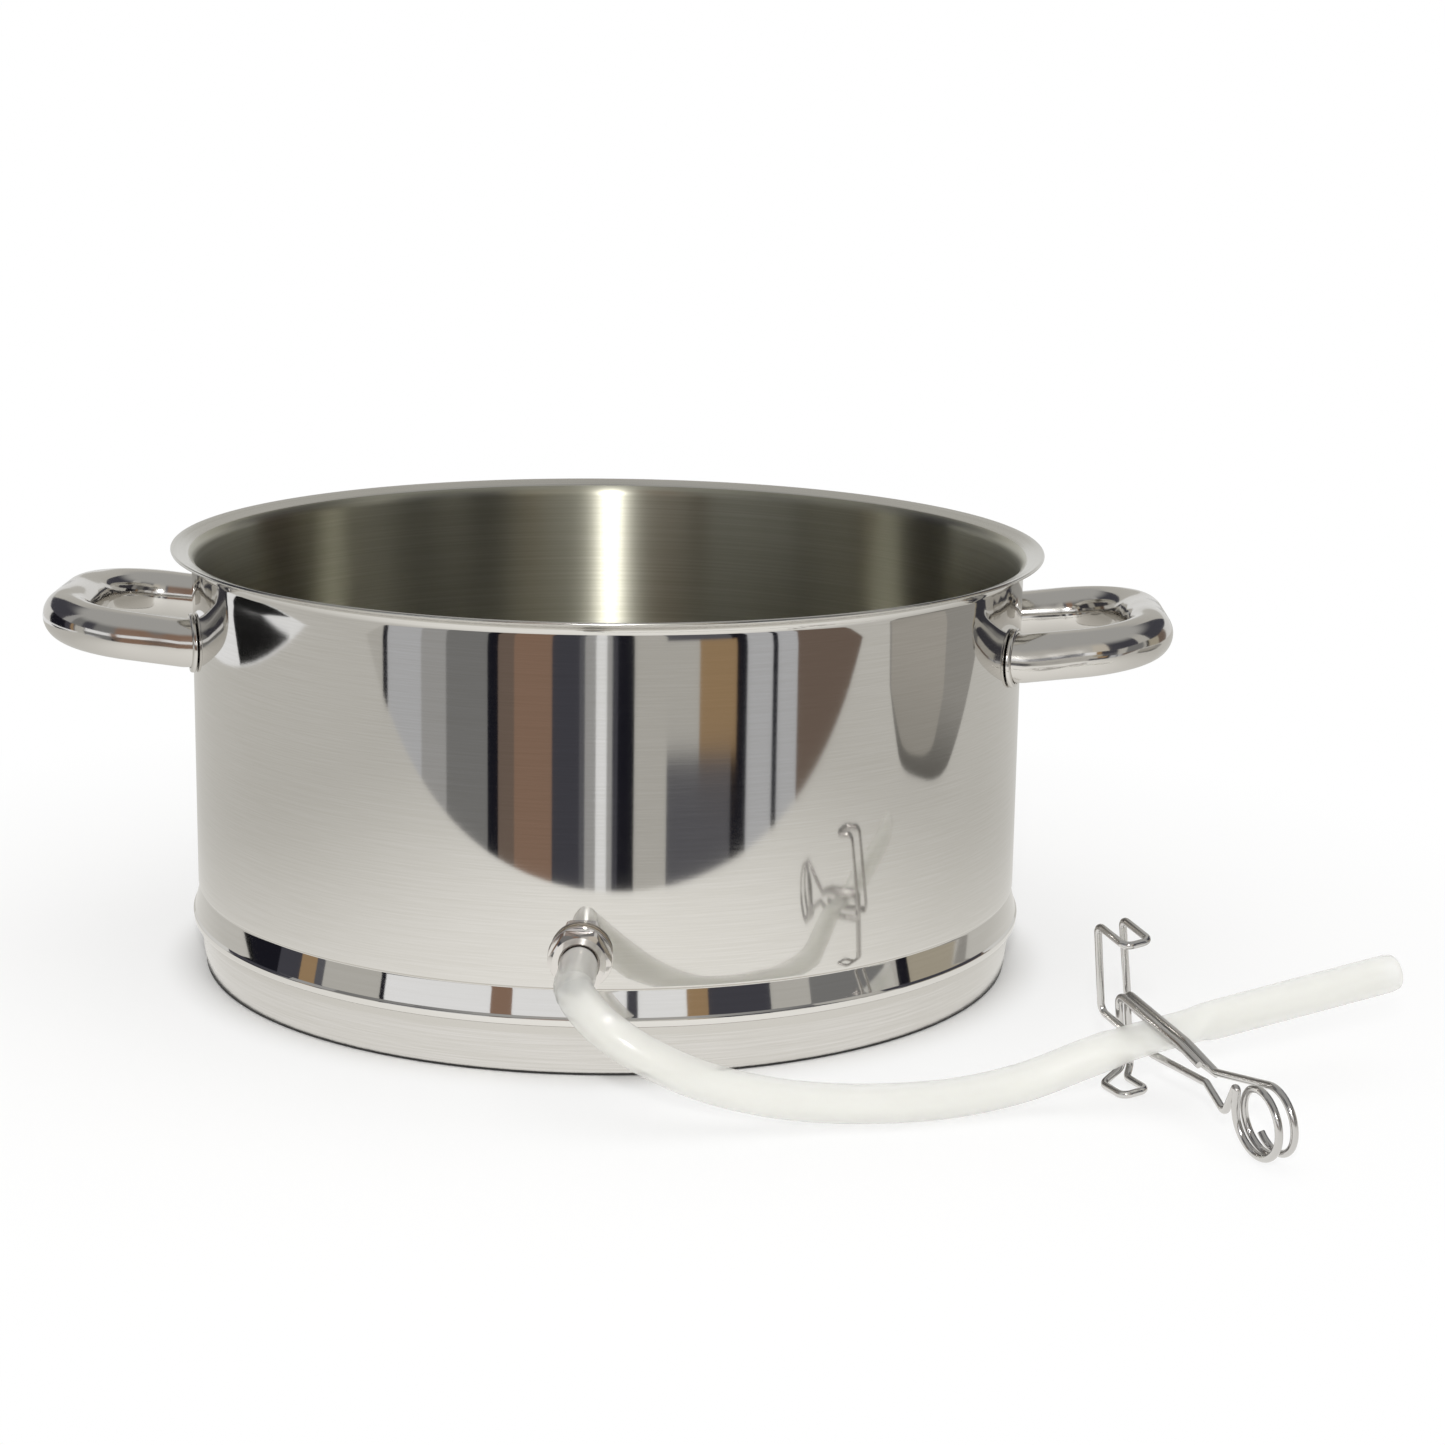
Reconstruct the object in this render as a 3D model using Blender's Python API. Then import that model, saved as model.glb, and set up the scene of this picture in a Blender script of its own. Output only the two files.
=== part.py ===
"""Juice kettle of a stove-top steamer: steel shell, steam funnel, two tube
handles, a drain spigot with its hose and a spring pinch clamp.

Units are metres, +Z is up, the origin is the centre of the foot ring.
The spigot points along -Y and the handles stand out along +X and -X.
"""
import math

import bmesh
import bpy
from mathutils import Vector

# Driving dimensions, in metres
GAP = 0.0003            # clearance left between neighbouring pieces
SHEET = 0.0010          # steel sheet of the shell, the floor and the funnel

WALL_R = 0.130          # outside radius of the wall
KETTLE_H = 0.1330       # height of the lip over the table
LIP_REACH = 0.0062      # how far the lip stands out from the wall
LIP_BEND = 0.0032       # bend radius from the wall into the lip
LIP_SLOPE = 18.0        # rise of the lip to its edge, in degrees
SKIRT_IN = 0.0022       # how far the skirt's foot stands in from the wall
SKIRT_DRAFT = 0.0020    # how much wider the skirt is at its top
SKIRT_H = 0.0155        # height of the skirt, up to the flat seat
BEAD_OUT = 0.0017       # how far the bead crest stands out from the wall
BEAD_RISE = 0.0022      # height of the crest over the seat
BAND_H = 0.0105         # height of the sloping band, from seat to wall
FOOT_W = 0.0040         # width of the turned-in foot ring

FLOOR_FALL = 0.0050     # how much the juice floor falls towards the wall
FLOOR_HOLE_R = 0.0400   # hole that lets the steam through the floor
FLANGE_W = 0.0100       # width of the funnel's foot flange on the floor
FUNNEL_H = 0.0580       # height of the funnel cone
FUNNEL_TOP_R = 0.0210   # outside radius of the funnel mouth

HANDLE_D = 0.0150       # outside diameter of the handle tube
TUBE_WALL = 0.0012      # wall of the handle tube
HANDLE_DROP = 0.0280    # from the lip down to the tube axis at the wall
HANDLE_RISE = 0.0046    # how much the tube rises from the wall to its loop
HANDLE_REACH = 0.0466   # from the wall to the outside of the loop
LEG_SPACING = 0.0710    # between the axes of the two legs
CORNER_R = 0.0240       # bend radius of the loop, on the tube axis
COLLAR_T = 0.0014       # thickness of the collar round each tube end
COLLAR_WALL = 0.0013    # ring width of the collar outside the tube

SPIGOT_Z = 0.0364       # height of the spigot axis
SHANK_R = 0.0050        # threaded shank
BORE_R = 0.0030         # bore of the spigot
BARB_R = 0.0036         # pipe that the hose is pushed on
BARB_L = 0.0200         # length of that pipe
HEAD_R = 0.0085         # round head inside the kettle
HEAD_T = 0.0020         # thickness of the head
SEAL_R = 0.0090         # outside radius of the two seals
SEAL_T = 0.0012         # thickness of a seal
WASHER_R = 0.0093       # outside radius of the steel washer
WASHER_T = 0.0010       # thickness of the washer
NUT_AF = 0.0160         # nut, across flats
NUT_T = 0.0052          # thickness of the nut
NUT_CHAMFER = 0.0007    # chamfer of the nut corners

HOSE_R = 0.0055         # outside radius of the hose
HOSE_WALL = 0.0016      # wall of the hose
PINCH_T = 0.0038        # thickness of the hose between the jaws
PINCH_W = 0.0164        # width of the hose between the jaws
PINCH_L = 0.0112        # length that lies flat between the jaws
PINCH_FADE = 0.0115     # length over which the hose gets round again

WIRE_D = 0.0022         # spring wire
COIL_R = 0.0093         # coil radius, on the wire axis
COIL_PITCH = 0.0027     # coil pitch
COIL_TURN = 485.0       # degrees of coil on the lower jaw
ARM_L = 0.0765          # from the coil axis to the upper finger loop
ARM_SPREAD = 0.0044     # half the distance between the lower jaw wires
LOOP_W = 0.0080         # width of the finger loops, on the wire axes
JAW_AT = 0.0525         # from the coil axis to the hose axis
CROSS_AT = 0.0260       # from the coil axis to where the arms cross
LOOP_H = 0.0280         # height of the upper finger loop over the lower jaw
LOOP_L = 0.0150         # length of the finger loops, towards the coil
LOOP_LEAN = 0.0022      # how far the upper one leans to the kettle side
DROP_LEAN = 0.0030      # how far the lower finger loop leans to the coil
DROP_SIDE = 0.0055      # how far it leans to the kettle side
DROP_TILT = 0.0018      # how much lower its outer end is
CROSS_V = 0.0015        # half the distance between the arms where they cross
COIL_END = 735.0        # degrees at which the coil ends in the kinked arm
DROP_H = 0.0223         # depth of the lower finger loop under the upper jaw
WIRE_BEND = 0.0026      # bend radius of the wire
WIRE_GAP = 0.0005       # gap between the two wires of the upper jaw

COIL_AT = (0.1850, -0.1870, 0.0117)
ARM_DIR = (-0.4364, 0.8847, 0.1637)
HOSE_DIR = (0.8990, 0.4212, 0.1203)

# The hose route from the spigot end to the jaws, chosen by hand
ROUTE = [
    (0.0015, -0.1640, 0.0345),
    (0.0080, -0.1700, 0.0292),
    (0.0190, -0.1730, 0.0225),
    (0.0350, -0.1722, 0.0150),
    (0.0525, -0.1695, 0.0098),
    (0.0710, -0.1655, 0.0068),
    (0.0895, -0.1620, 0.0061),
    (0.1070, -0.1560, 0.0062),
    (0.1245, -0.1495, 0.0086),
    (0.1420, -0.1465, 0.0150),
]
HOSE_STEP = 0.0075      # distance between the rings of the hose
TAIL_L = 0.0780         # straight hose past the jaws

# Worked out from the driving dimensions
SKIRT_R = WALL_R - SKIRT_IN
SEAT_Z = SKIRT_H
HANDLE_Z = KETTLE_H - HANDLE_DROP
CREST_R = WALL_R + BEAD_OUT
CREST_Z = SEAT_Z + BEAD_RISE
BAND_Z = SEAT_Z + BAND_H
WALL_IN = WALL_R - SHEET
WIRE_R = WIRE_D / 2
JAW_W = PINCH_T / 2 + GAP + WIRE_R
TWIN = WIRE_R + WIRE_GAP / 2


def clear_scene():
    for obj in list(bpy.data.objects):
        bpy.data.objects.remove(obj, do_unlink=True)


def material(name, color, metallic, roughness):
    mat = bpy.data.materials.new(name)
    mat.use_nodes = True
    bsdf = mat.node_tree.nodes["Principled BSDF"]
    bsdf.inputs["Base Color"].default_value = (*color, 1.0)
    bsdf.inputs["Metallic"].default_value = metallic
    bsdf.inputs["Roughness"].default_value = roughness
    return mat


def add_mesh(name, verts, faces, mat, at=(0, 0, 0)):
    """Make one object from vertices in the part's frame."""
    mesh = bpy.data.meshes.new(name)
    base = Vector(at)
    mesh.from_pydata([Vector(v) - base for v in verts], [], faces)
    bm = bmesh.new()
    bm.from_mesh(mesh)
    bmesh.ops.recalc_face_normals(bm, faces=bm.faces[:])
    bm.to_mesh(mesh)
    bm.free()
    mesh.materials.append(mat)
    obj = bpy.data.objects.new(name, mesh)
    obj.location = base
    bpy.context.collection.objects.link(obj)
    return obj


def revolve(name, outline, place, segments, mat):
    """Turn a closed outline of (radius, height) points about its axis."""
    verts = []
    for i in range(segments):
        turn = 2 * math.pi * i / segments
        for r, h in outline:
            verts.append(place(r * math.cos(turn), r * math.sin(turn), h))
    n = len(outline)
    faces = []
    for i in range(segments):
        a = i * n
        b = ((i + 1) % segments) * n
        for k in range(n):
            j = (k + 1) % n
            faces.append((a + k, a + j, b + j, b + k))
    return add_mesh(name, verts, faces, mat)


def upright(x, y, h):
    return (x, y, h)


def along_spigot(x, y, h):
    """Points whose height runs outwards along the spigot axis."""
    return (x, -h, SPIGOT_Z + y)


def ring(name, place, r_in, r_out, low, high, segments, mat):
    outline = [(r_in, low), (r_out, low), (r_out, high), (r_in, high)]
    return revolve(name, outline, place, segments, mat)


def cut(obj, cutter):
    """Cut a tool shape out of an object and drop the tool."""
    mod = obj.modifiers.new("cut", 'BOOLEAN')
    mod.operation = 'DIFFERENCE'
    mod.solver = 'EXACT'
    mod.object = cutter
    depsgraph = bpy.context.evaluated_depsgraph_get()
    mesh = bpy.data.meshes.new_from_object(obj.evaluated_get(depsgraph))
    obj.modifiers.clear()
    obj.data = mesh
    bpy.data.objects.remove(cutter, do_unlink=True)


def rounded(points, radius, steps=4, end_share=0.45):
    """Replace each inner corner of a path with an arc. An arc may take up
    to end_share of the first and the last stretch."""
    path = [Vector(p) for p in points]
    shares = [0.45] * (len(path) - 1)
    shares[0] = end_share
    shares[-1] = end_share
    out = [path[0]]
    for i in range(1, len(path) - 1):
        a, b, c = path[i - 1:i + 2]
        into = (a - b).normalized()
        away = (c - b).normalized()
        half = into.angle(away) / 2
        if half > math.radians(86):
            out.append(b)
            continue
        back = radius / math.tan(half)
        back = min(back, shares[i - 1] * (a - b).length)
        back = min(back, shares[i] * (c - b).length)
        bend = back * math.tan(half)
        centre = b + (into + away).normalized() * (bend / math.sin(half))
        first = b + into * back - centre
        last = b + away * back - centre
        for k in range(steps + 1):
            arm = first.normalized().slerp(last.normalized(), k / steps)
            out.append(centre + arm * bend)
    out.append(path[-1])
    return out


def tube(name, points, diameter, resolution, mat, at=(0, 0, 0)):
    """Sweep a round bar along a path of points in the part's frame."""
    base = Vector(at)
    curve = bpy.data.curves.new(name, 'CURVE')
    curve.dimensions = '3D'
    curve.bevel_depth = diameter / 2
    curve.bevel_resolution = resolution
    curve.use_fill_caps = True
    spline = curve.splines.new('POLY')
    spline.points.add(len(points) - 1)
    for point, co in zip(spline.points, points):
        point.co = (*(Vector(co) - base), 1.0)
    curve.materials.append(mat)
    obj = bpy.data.objects.new(name, curve)
    obj.location = base
    bpy.context.collection.objects.link(obj)
    return obj


def sheet_outline(outer, thickness):
    """Close a sheet's outer line with the same line moved inwards."""
    line = [Vector((r, h)) for r, h in outer]
    inner = []
    for i, p in enumerate(line):
        before = (p - line[i - 1]).normalized() if i else None
        after = None
        if i + 1 < len(line):
            after = (line[i + 1] - p).normalized()
        before = before or after
        after = after or before
        side_a = Vector((-before.y, before.x))
        side_b = Vector((-after.y, after.x))
        mitre = (side_a + side_b).normalized()
        inner.append(p + mitre * (thickness / mitre.dot(side_a)))
    both = line + inner[::-1]
    return [(p.x, p.y) for p in both]


def kettle_shell(mat):
    """Wall, flared lip, bead and nesting skirt, drawn from one sheet."""
    slope = math.radians(LIP_SLOPE)
    sweep = math.pi / 2 - slope
    lip_r = WALL_R + LIP_BEND
    edge_r = WALL_R + LIP_REACH
    edge_z = KETTLE_H - SHEET * math.cos(slope)
    straight = LIP_REACH - LIP_BEND * (1 - math.cos(sweep))
    lip_z = edge_z - straight * math.tan(slope) - LIP_BEND * math.sin(sweep)
    outer = [
        (SKIRT_R - FOOT_W, 0.0),
        (SKIRT_R, 0.0),
        (SKIRT_R + SKIRT_DRAFT, SEAT_Z),
        (CREST_R - 0.0006, SEAT_Z),
        (CREST_R, CREST_Z),
        (CREST_R, CREST_Z + 0.0008),
        (WALL_R, BAND_Z),
    ]
    steps = 6
    for i in range(steps + 1):
        turn = sweep * i / steps
        r = lip_r - LIP_BEND * math.cos(turn)
        outer.append((r, lip_z + LIP_BEND * math.sin(turn)))
    outer.append((edge_r, edge_z))
    shell = revolve("kettle_shell", sheet_outline(outer, SHEET), upright,
                    72, mat)
    bpy.ops.mesh.primitive_cylinder_add(
        vertices=24, radius=SHANK_R + GAP, depth=8 * SHEET,
        location=(0, -WALL_R + SHEET / 2, SPIGOT_Z),
        rotation=(math.pi / 2, 0, 0))
    cut(shell, bpy.context.object)
    return shell


def juice_floor(mat):
    """Ring floor that stands on the bead's ledge and falls outwards."""
    edge_r = WALL_IN - GAP
    foot_z = CREST_Z + SHEET + GAP
    edge_z = SPIGOT_Z - SEAL_R - GAP
    top_z = edge_z + FLOOR_FALL
    outer = [
        (edge_r, foot_z),
        (edge_r, edge_z - 0.0015),
        (edge_r - 0.0015, edge_z),
        (FLOOR_HOLE_R, top_z),
    ]
    revolve("juice_floor", sheet_outline(outer, SHEET), upright, 64, mat)
    return top_z


def steam_funnel(floor_z, mat):
    """Open cone over the hole in the floor, with a flange as its foot."""
    flange_r = FLOOR_HOLE_R + FLANGE_W
    slope = FLOOR_FALL / (WALL_IN - GAP - 0.0015 - FLOOR_HOLE_R)
    low = floor_z + GAP
    foot_r = FLOOR_HOLE_R + 0.0015
    rise = low + SHEET
    outer = [
        (flange_r, rise - slope * FLANGE_W),
        (foot_r, rise),
        (FUNNEL_TOP_R, rise + FUNNEL_H),
    ]
    revolve("steam_funnel", sheet_outline(outer, SHEET), upright, 56, mat)


def wall_x(y, extra):
    """X of the wall, moved out by extra, at a place along Y."""
    return math.sqrt((WALL_R + extra) ** 2 - y * y)


def coped(sign, ring, extra):
    """Move a ring of points along X to the wall, extra outside it."""
    return [(sign * wall_x(y, extra), y, z) for _, y, z in ring]


def handle(side, name, mats):
    """One bent tube, welded to the wall with a collar round each end."""
    sign = 1 if side == "right" else -1
    leg = LEG_SPACING / 2
    start_x = wall_x(leg - HANDLE_D, GAP)
    loop_x = WALL_R + HANDLE_REACH - HANDLE_D / 2
    loop_z = HANDLE_Z + HANDLE_RISE
    path = rounded([
        (sign * start_x, -leg, HANDLE_Z),
        (sign * loop_x, -leg, loop_z),
        (sign * loop_x, leg, loop_z),
        (sign * start_x, leg, HANDLE_Z),
    ], CORNER_R, 8, 0.95)
    handle_tube(name + "_tube", sign, path, mats["polished"])
    for end, y in (("front", -leg), ("back", leg)):
        collar(name + "_collar_" + end, sign, y, mats["polished"])


def handle_tube(name, sign, path, mat):
    """Hollow tube along the path, both ends cut to the round of the wall."""
    sides = 16
    layers = []
    for radius in (HANDLE_D / 2, HANDLE_D / 2 - TUBE_WALL):
        rings = []
        for i, p in enumerate(path):
            a = path[max(i - 1, 0)]
            b = path[min(i + 1, len(path) - 1)]
            side = (b - a).normalized().cross(Vector((0, 0, 1)))
            ring = []
            for k in range(sides):
                turn = 2 * math.pi * k / sides
                reach = side * math.cos(turn) + Vector((0, 0, math.sin(turn)))
                ring.append(p + reach * radius)
            rings.append(ring)
        first = coped(sign, rings[0], GAP)
        last = coped(sign, rings[-1], GAP)
        layers.append([first] + rings + [last])
    closed_loft(name, layers[0] + layers[1][::-1], mat)


def closed_loft(name, rings, mat):
    """Skin from ring to ring, and from the last one to the first."""
    sides = len(rings[0])
    verts = [v for ring in rings for v in ring]
    faces = []
    for i in range(len(rings)):
        a = i * sides
        b = (i + 1) % len(rings) * sides
        for k in range(sides):
            j = (k + 1) % sides
            faces.append((a + k, a + j, b + j, b + k))
    add_mesh(name, verts, faces, mat)


def collar(name, sign, y, mat):
    """Thin ring round a tube end, bent to the wall."""
    sides = 24
    inner = HANDLE_D / 2 + GAP
    rings = []
    for radius, extra in ((inner, GAP), (inner + COLLAR_WALL, GAP),
                          (inner + COLLAR_WALL, GAP + COLLAR_T),
                          (inner, GAP + COLLAR_T)):
        ring = []
        for k in range(sides):
            turn = 2 * math.pi * k / sides
            ring.append((0.0, y + radius * math.cos(turn),
                         HANDLE_Z + radius * math.sin(turn)))
        rings.append(coped(sign, ring, extra))
    closed_loft(name, rings, mat)


def outlet(mats):
    """Spigot through the wall with two seals, a washer and a nut."""
    sag = WALL_IN - math.sqrt(WALL_IN ** 2 - SEAL_R ** 2)
    inside = WALL_IN - sag - GAP
    head = inside - SEAL_T - GAP
    outside = WALL_R + GAP
    washer = outside + SEAL_T + GAP
    nut = washer + WASHER_T + GAP
    nut_end = nut + NUT_T
    bore = SHANK_R + GAP

    ring("inner_seal", along_spigot, bore, SEAL_R,
         inside - SEAL_T, inside, 24, mats["seal"])
    ring("outer_seal", along_spigot, bore, SEAL_R,
         outside, outside + SEAL_T, 24, mats["seal"])
    ring("outlet_washer", along_spigot, bore, WASHER_R,
         washer, washer + WASHER_T, 32, mats["polished"])
    outline = [
        (BORE_R, head - HEAD_T),
        (HEAD_R, head - HEAD_T),
        (HEAD_R, head),
        (SHANK_R, head),
        (SHANK_R, nut_end - GAP),
        (BARB_R, nut_end - GAP),
        (BARB_R, nut_end + BARB_L),
        (BORE_R, nut_end + BARB_L),
    ]
    revolve("outlet_spigot", outline, along_spigot, 24, mats["polished"])
    hex_nut(nut, nut_end, bore, mats["polished"])
    return nut_end


def hex_nut(low, high, bore, mat):
    """Hexagon nut with a flat on top and chamfered corners in front."""
    sides = 6
    per_side = 4
    count = sides * per_side
    rings = [[], [], [], [], []]
    for i in range(count):
        turn = 2 * math.pi * i / count
        local = (turn + math.pi / sides) % (2 * math.pi / sides)
        local -= math.pi / sides
        r = NUT_AF / 2 / math.cos(local)
        top = min(r, NUT_AF / 2 + 0.0002)
        sizes = (bore, r, r, top, bore)
        depth = high - NUT_CHAMFER * (r - top) / 0.0010
        heights = (low, low, depth, high, high)
        angle = turn + math.pi / 2
        for k in range(5):
            x = sizes[k] * math.cos(angle)
            y = sizes[k] * math.sin(angle)
            h = min(heights[k], high - 0.0001) if k == 2 else heights[k]
            rings[k].append(along_spigot(x, y, h))
    verts = [v for r in rings for v in r]
    faces = []
    for k in range(5):
        a = k * count
        b = ((k + 1) % 5) * count
        for i in range(count):
            j = (i + 1) % count
            faces.append((a + i, a + j, b + j, b + i))
    add_mesh("outlet_nut", verts, faces, mat)


def hose_line(start):
    """Points along a smooth curve through the route, at even steps."""
    axis = Vector((0, start, SPIGOT_Z))
    tip = BARB_L + 0.002
    jaw = Vector(COIL_AT) + Vector(ARM_DIR) * JAW_AT
    along = Vector(HOSE_DIR)
    flat = PINCH_L / 2 + 0.001
    knots = [axis, axis + Vector((0, -tip / 2, 0)), axis + Vector((0, -tip, 0))]
    knots += [Vector(p) for p in ROUTE]
    knots += [jaw - along * flat, jaw, jaw + along * flat]
    knots += [jaw + along * (flat + 0.02), jaw + along * TAIL_L]
    line = []
    for i in range(len(knots) - 1):
        a = knots[max(i - 1, 0)]
        b, c = knots[i], knots[i + 1]
        d = knots[min(i + 2, len(knots) - 1)]
        span = (c - b).length
        m0 = (c - a).normalized() * span
        m1 = (d - b).normalized() * span
        pieces = max(1, round(span / HOSE_STEP))
        for k in range(pieces):
            t = k / pieces
            line.append(b * (2 * t ** 3 - 3 * t ** 2 + 1)
                        + m0 * (t ** 3 - 2 * t ** 2 + t)
                        + c * (-2 * t ** 3 + 3 * t ** 2)
                        + m1 * (t ** 3 - t ** 2))
    line.append(knots[-1])
    return line, jaw


def squeeze(distance):
    """Share of the flat shape at a distance from the jaws."""
    t = (abs(distance) - PINCH_L / 2) / PINCH_FADE
    t = min(max(t, 0.0), 1.0)
    return 1 - t * t * (3 - 2 * t)


def hose(start, mat):
    """Soft hose with its bore, pressed flat where the jaws hold it."""
    line, jaw = hose_line(start)
    total = 0.0
    lengths = [0.0]
    for a, b in zip(line, line[1:]):
        total += (b - a).length
        lengths.append(total)
    middle = min(range(len(line)), key=lambda i: (line[i] - jaw).length)
    tangents = []
    for i in range(len(line)):
        a = line[max(i - 1, 0)]
        b = line[min(i + 1, len(line) - 1)]
        tangents.append((b - a).normalized())
    across = Vector(ARM_DIR)
    sides = 12
    rings = [[], []]
    for layer, inset in enumerate((0.0, HOSE_WALL)):
        for i, p in enumerate(line):
            flat = squeeze(lengths[i] - lengths[middle])
            wide = HOSE_R + (PINCH_W / 2 - HOSE_R) * flat - inset
            thick = HOSE_R + (PINCH_T / 2 - HOSE_R) * flat - inset
            side = across - tangents[i] * across.dot(tangents[i])
            side.normalize()
            up = tangents[i].cross(side)
            ring = []
            for k in range(sides):
                turn = 2 * math.pi * k / sides
                ring.append(p + side * wide * math.cos(turn)
                            + up * thick * math.sin(turn))
            rings[layer].append(ring)
    closed_loft("drain_hose", rings[0] + rings[1][::-1], mat)
    print("hose length mm", round(total * 1000, 1))


def clamp_frame():
    """Axes of the clamp: along the arms, along the coil axis, upwards."""
    arm = Vector(ARM_DIR).normalized()
    axis = Vector(HOSE_DIR)
    axis = (axis - arm * axis.dot(arm)).normalized()
    return arm, axis, axis.cross(arm)


def place_wire(points):
    arm, axis, up = clamp_frame()
    base = Vector(COIL_AT)
    return [base + arm * u + axis * v + up * w for u, v, w in points]


def on_coil(degrees, v):
    turn = math.radians(degrees)
    return (COIL_R * math.cos(turn), v, COIL_R * math.sin(turn))


def self_gap(points, diameter):
    """Least gap of a wire to itself, skipping its own neighbourhood."""
    best = 1.0
    for i, p in enumerate(points):
        run = 0.0
        for j in range(i + 1, len(points)):
            run += (points[j] - points[j - 1]).length
            if run > 4 * diameter:
                best = min(best, (points[j] - p).length - diameter)
    return best


def lower_jaw(mat):
    """Coil, kinked arm and two wires under the hose, up to a finger loop."""
    far = COIL_PITCH * COIL_TURN / 360
    first_v = (far - COIL_PITCH) / 2
    steps = round(COIL_TURN / 40)
    coil = []
    for i in range(steps + 1):
        turn = COIL_END - COIL_TURN * (1 - i / steps)
        coil.append(on_coil(turn, first_v - far * i / steps))
    near = first_v - far
    s = ARM_SPREAD
    half = LOOP_W / 2
    top = LOOP_H - JAW_W
    tip = ARM_L - LOOP_L
    arms = [
        coil[-1],
        (0.0088, near, 0.0085),
        (0.0140, near, -0.0038),
        (CROSS_AT, -CROSS_V, -0.0012),
        (JAW_AT - 0.004, -s, -JAW_W),
        (ARM_L, -s, -JAW_W),
        (ARM_L, -half - LOOP_LEAN, top),
        (tip, -half - LOOP_LEAN, top),
        (tip, half - LOOP_LEAN, top),
        (ARM_L, half - LOOP_LEAN, top),
        (ARM_L, s, -JAW_W),
        (JAW_AT - 0.004, s, -JAW_W),
        (CROSS_AT + 0.004, s, -0.0022),
    ]
    wire = place_wire(coil[:-1]) + rounded(place_wire(arms), WIRE_BEND)
    print("lower jaw self gap mm", round(self_gap(wire, WIRE_D) * 1000, 2))
    tube("clamp_lower_jaw", wire, WIRE_D, 1, mat, COIL_AT)


def upper_jaw(mat):
    """Last half turn of the coil and two wires over the hose, down to a
    finger loop. It turns about the coil axis."""
    far = COIL_PITCH * COIL_TURN / 360
    v = (far + COIL_PITCH) / 2
    arc = [on_coil(turn, v) for turn in range(310, 69, -40)]
    s = TWIN
    bend = ARM_L - 0.0040
    foot = bend - DROP_LEAN
    low = JAW_W - DROP_H
    half = LOOP_W / 2
    tip = foot - LOOP_L + 0.001
    arms = [
        arc[-1],
        (CROSS_AT, CROSS_V, 0.0012),
        (JAW_AT - 0.012, s, JAW_W),
        (bend, s, JAW_W),
        (foot, s, low),
        (foot - 0.003, half - DROP_SIDE, low - DROP_TILT),
        (tip, half - DROP_SIDE, low),
        (tip, -half - DROP_SIDE, low),
        (foot - 0.003, -half - DROP_SIDE, low - DROP_TILT),
        (foot, -s, low),
        (bend, -s, JAW_W),
        (JAW_AT - 0.012, -s, JAW_W),
        (CROSS_AT + 0.004, -s, 0.0022),
    ]
    wire = place_wire(arc[:-1]) + rounded(place_wire(arms), WIRE_BEND)
    print("upper jaw self gap mm", round(self_gap(wire, WIRE_D) * 1000, 2))
    tube("clamp_upper_jaw", wire, WIRE_D, 1, mat, COIL_AT)


clear_scene()
MATS = {
    "shell": material("shell_steel", (0.62, 0.61, 0.59), 1.0, 0.22),
    "inside": material("inner_steel", (0.55, 0.54, 0.51), 1.0, 0.38),
    "polished": material("polished_steel", (0.68, 0.67, 0.65), 1.0, 0.12),
    "wire": material("spring_wire", (0.60, 0.59, 0.58), 1.0, 0.18),
    "hose": material("clear_hose", (0.86, 0.87, 0.85), 0.0, 0.35),
    "seal": material("seal_rubber", (0.62, 0.60, 0.55), 0.0, 0.55),
}
kettle_shell(MATS["shell"])
FLOOR_Z = juice_floor(MATS["inside"])
steam_funnel(FLOOR_Z, MATS["inside"])
for side in ("left", "right"):
    handle(side, side + "_handle", MATS)
HOSE_Y = -(outlet(MATS) + GAP)
hose(HOSE_Y, MATS["hose"])
lower_jaw(MATS["wire"])
upper_jaw(MATS["wire"])
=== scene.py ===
# %% [markdown]
# # A steel juice kettle with its drain hose
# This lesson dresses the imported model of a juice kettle: the middle tier of a
# stove-top steamer, with a soft drain hose and a spring wire clamp. The packed
# solids are a fixed frame. Every visible piece is made again here as a denser
# mesh in the same place, rides on the body of the solid it stands for, and
# gets the finish of the real thing.

# %% load the frame
import math

import bmesh
import bpy
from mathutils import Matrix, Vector


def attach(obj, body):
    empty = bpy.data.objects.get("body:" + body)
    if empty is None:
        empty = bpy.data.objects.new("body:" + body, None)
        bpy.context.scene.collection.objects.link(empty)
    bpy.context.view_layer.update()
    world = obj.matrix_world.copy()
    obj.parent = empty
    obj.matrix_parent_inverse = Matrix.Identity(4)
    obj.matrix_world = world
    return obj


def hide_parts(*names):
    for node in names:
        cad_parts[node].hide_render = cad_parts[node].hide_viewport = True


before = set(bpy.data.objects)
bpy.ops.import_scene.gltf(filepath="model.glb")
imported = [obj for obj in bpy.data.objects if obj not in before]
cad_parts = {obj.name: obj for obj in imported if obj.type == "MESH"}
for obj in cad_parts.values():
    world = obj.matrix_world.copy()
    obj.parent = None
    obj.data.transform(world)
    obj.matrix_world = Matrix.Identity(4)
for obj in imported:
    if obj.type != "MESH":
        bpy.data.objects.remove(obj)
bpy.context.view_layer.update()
print("nodes in the frame:", len(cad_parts))

# %% [markdown]
# ## The camera
# The photograph was taken from about a metre away, a little above the lip and
# almost straight in front of the spigot. Its place was worked out from the
# ellipses of the lip and the foot, so the camera is set by its position, the
# way it looks and its upper side, which also holds the slight tilt of the
# picture.

# %% camera
CAMERA_AT = Vector((0.05502, -0.98413, 0.29685))
CAMERA_LOOK = Vector((-0.01844, 0.97539, -0.21970))
CAMERA_TOP = Vector((-0.01923, 0.21935, 0.97546))
LENS_MM = 78.87


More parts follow.
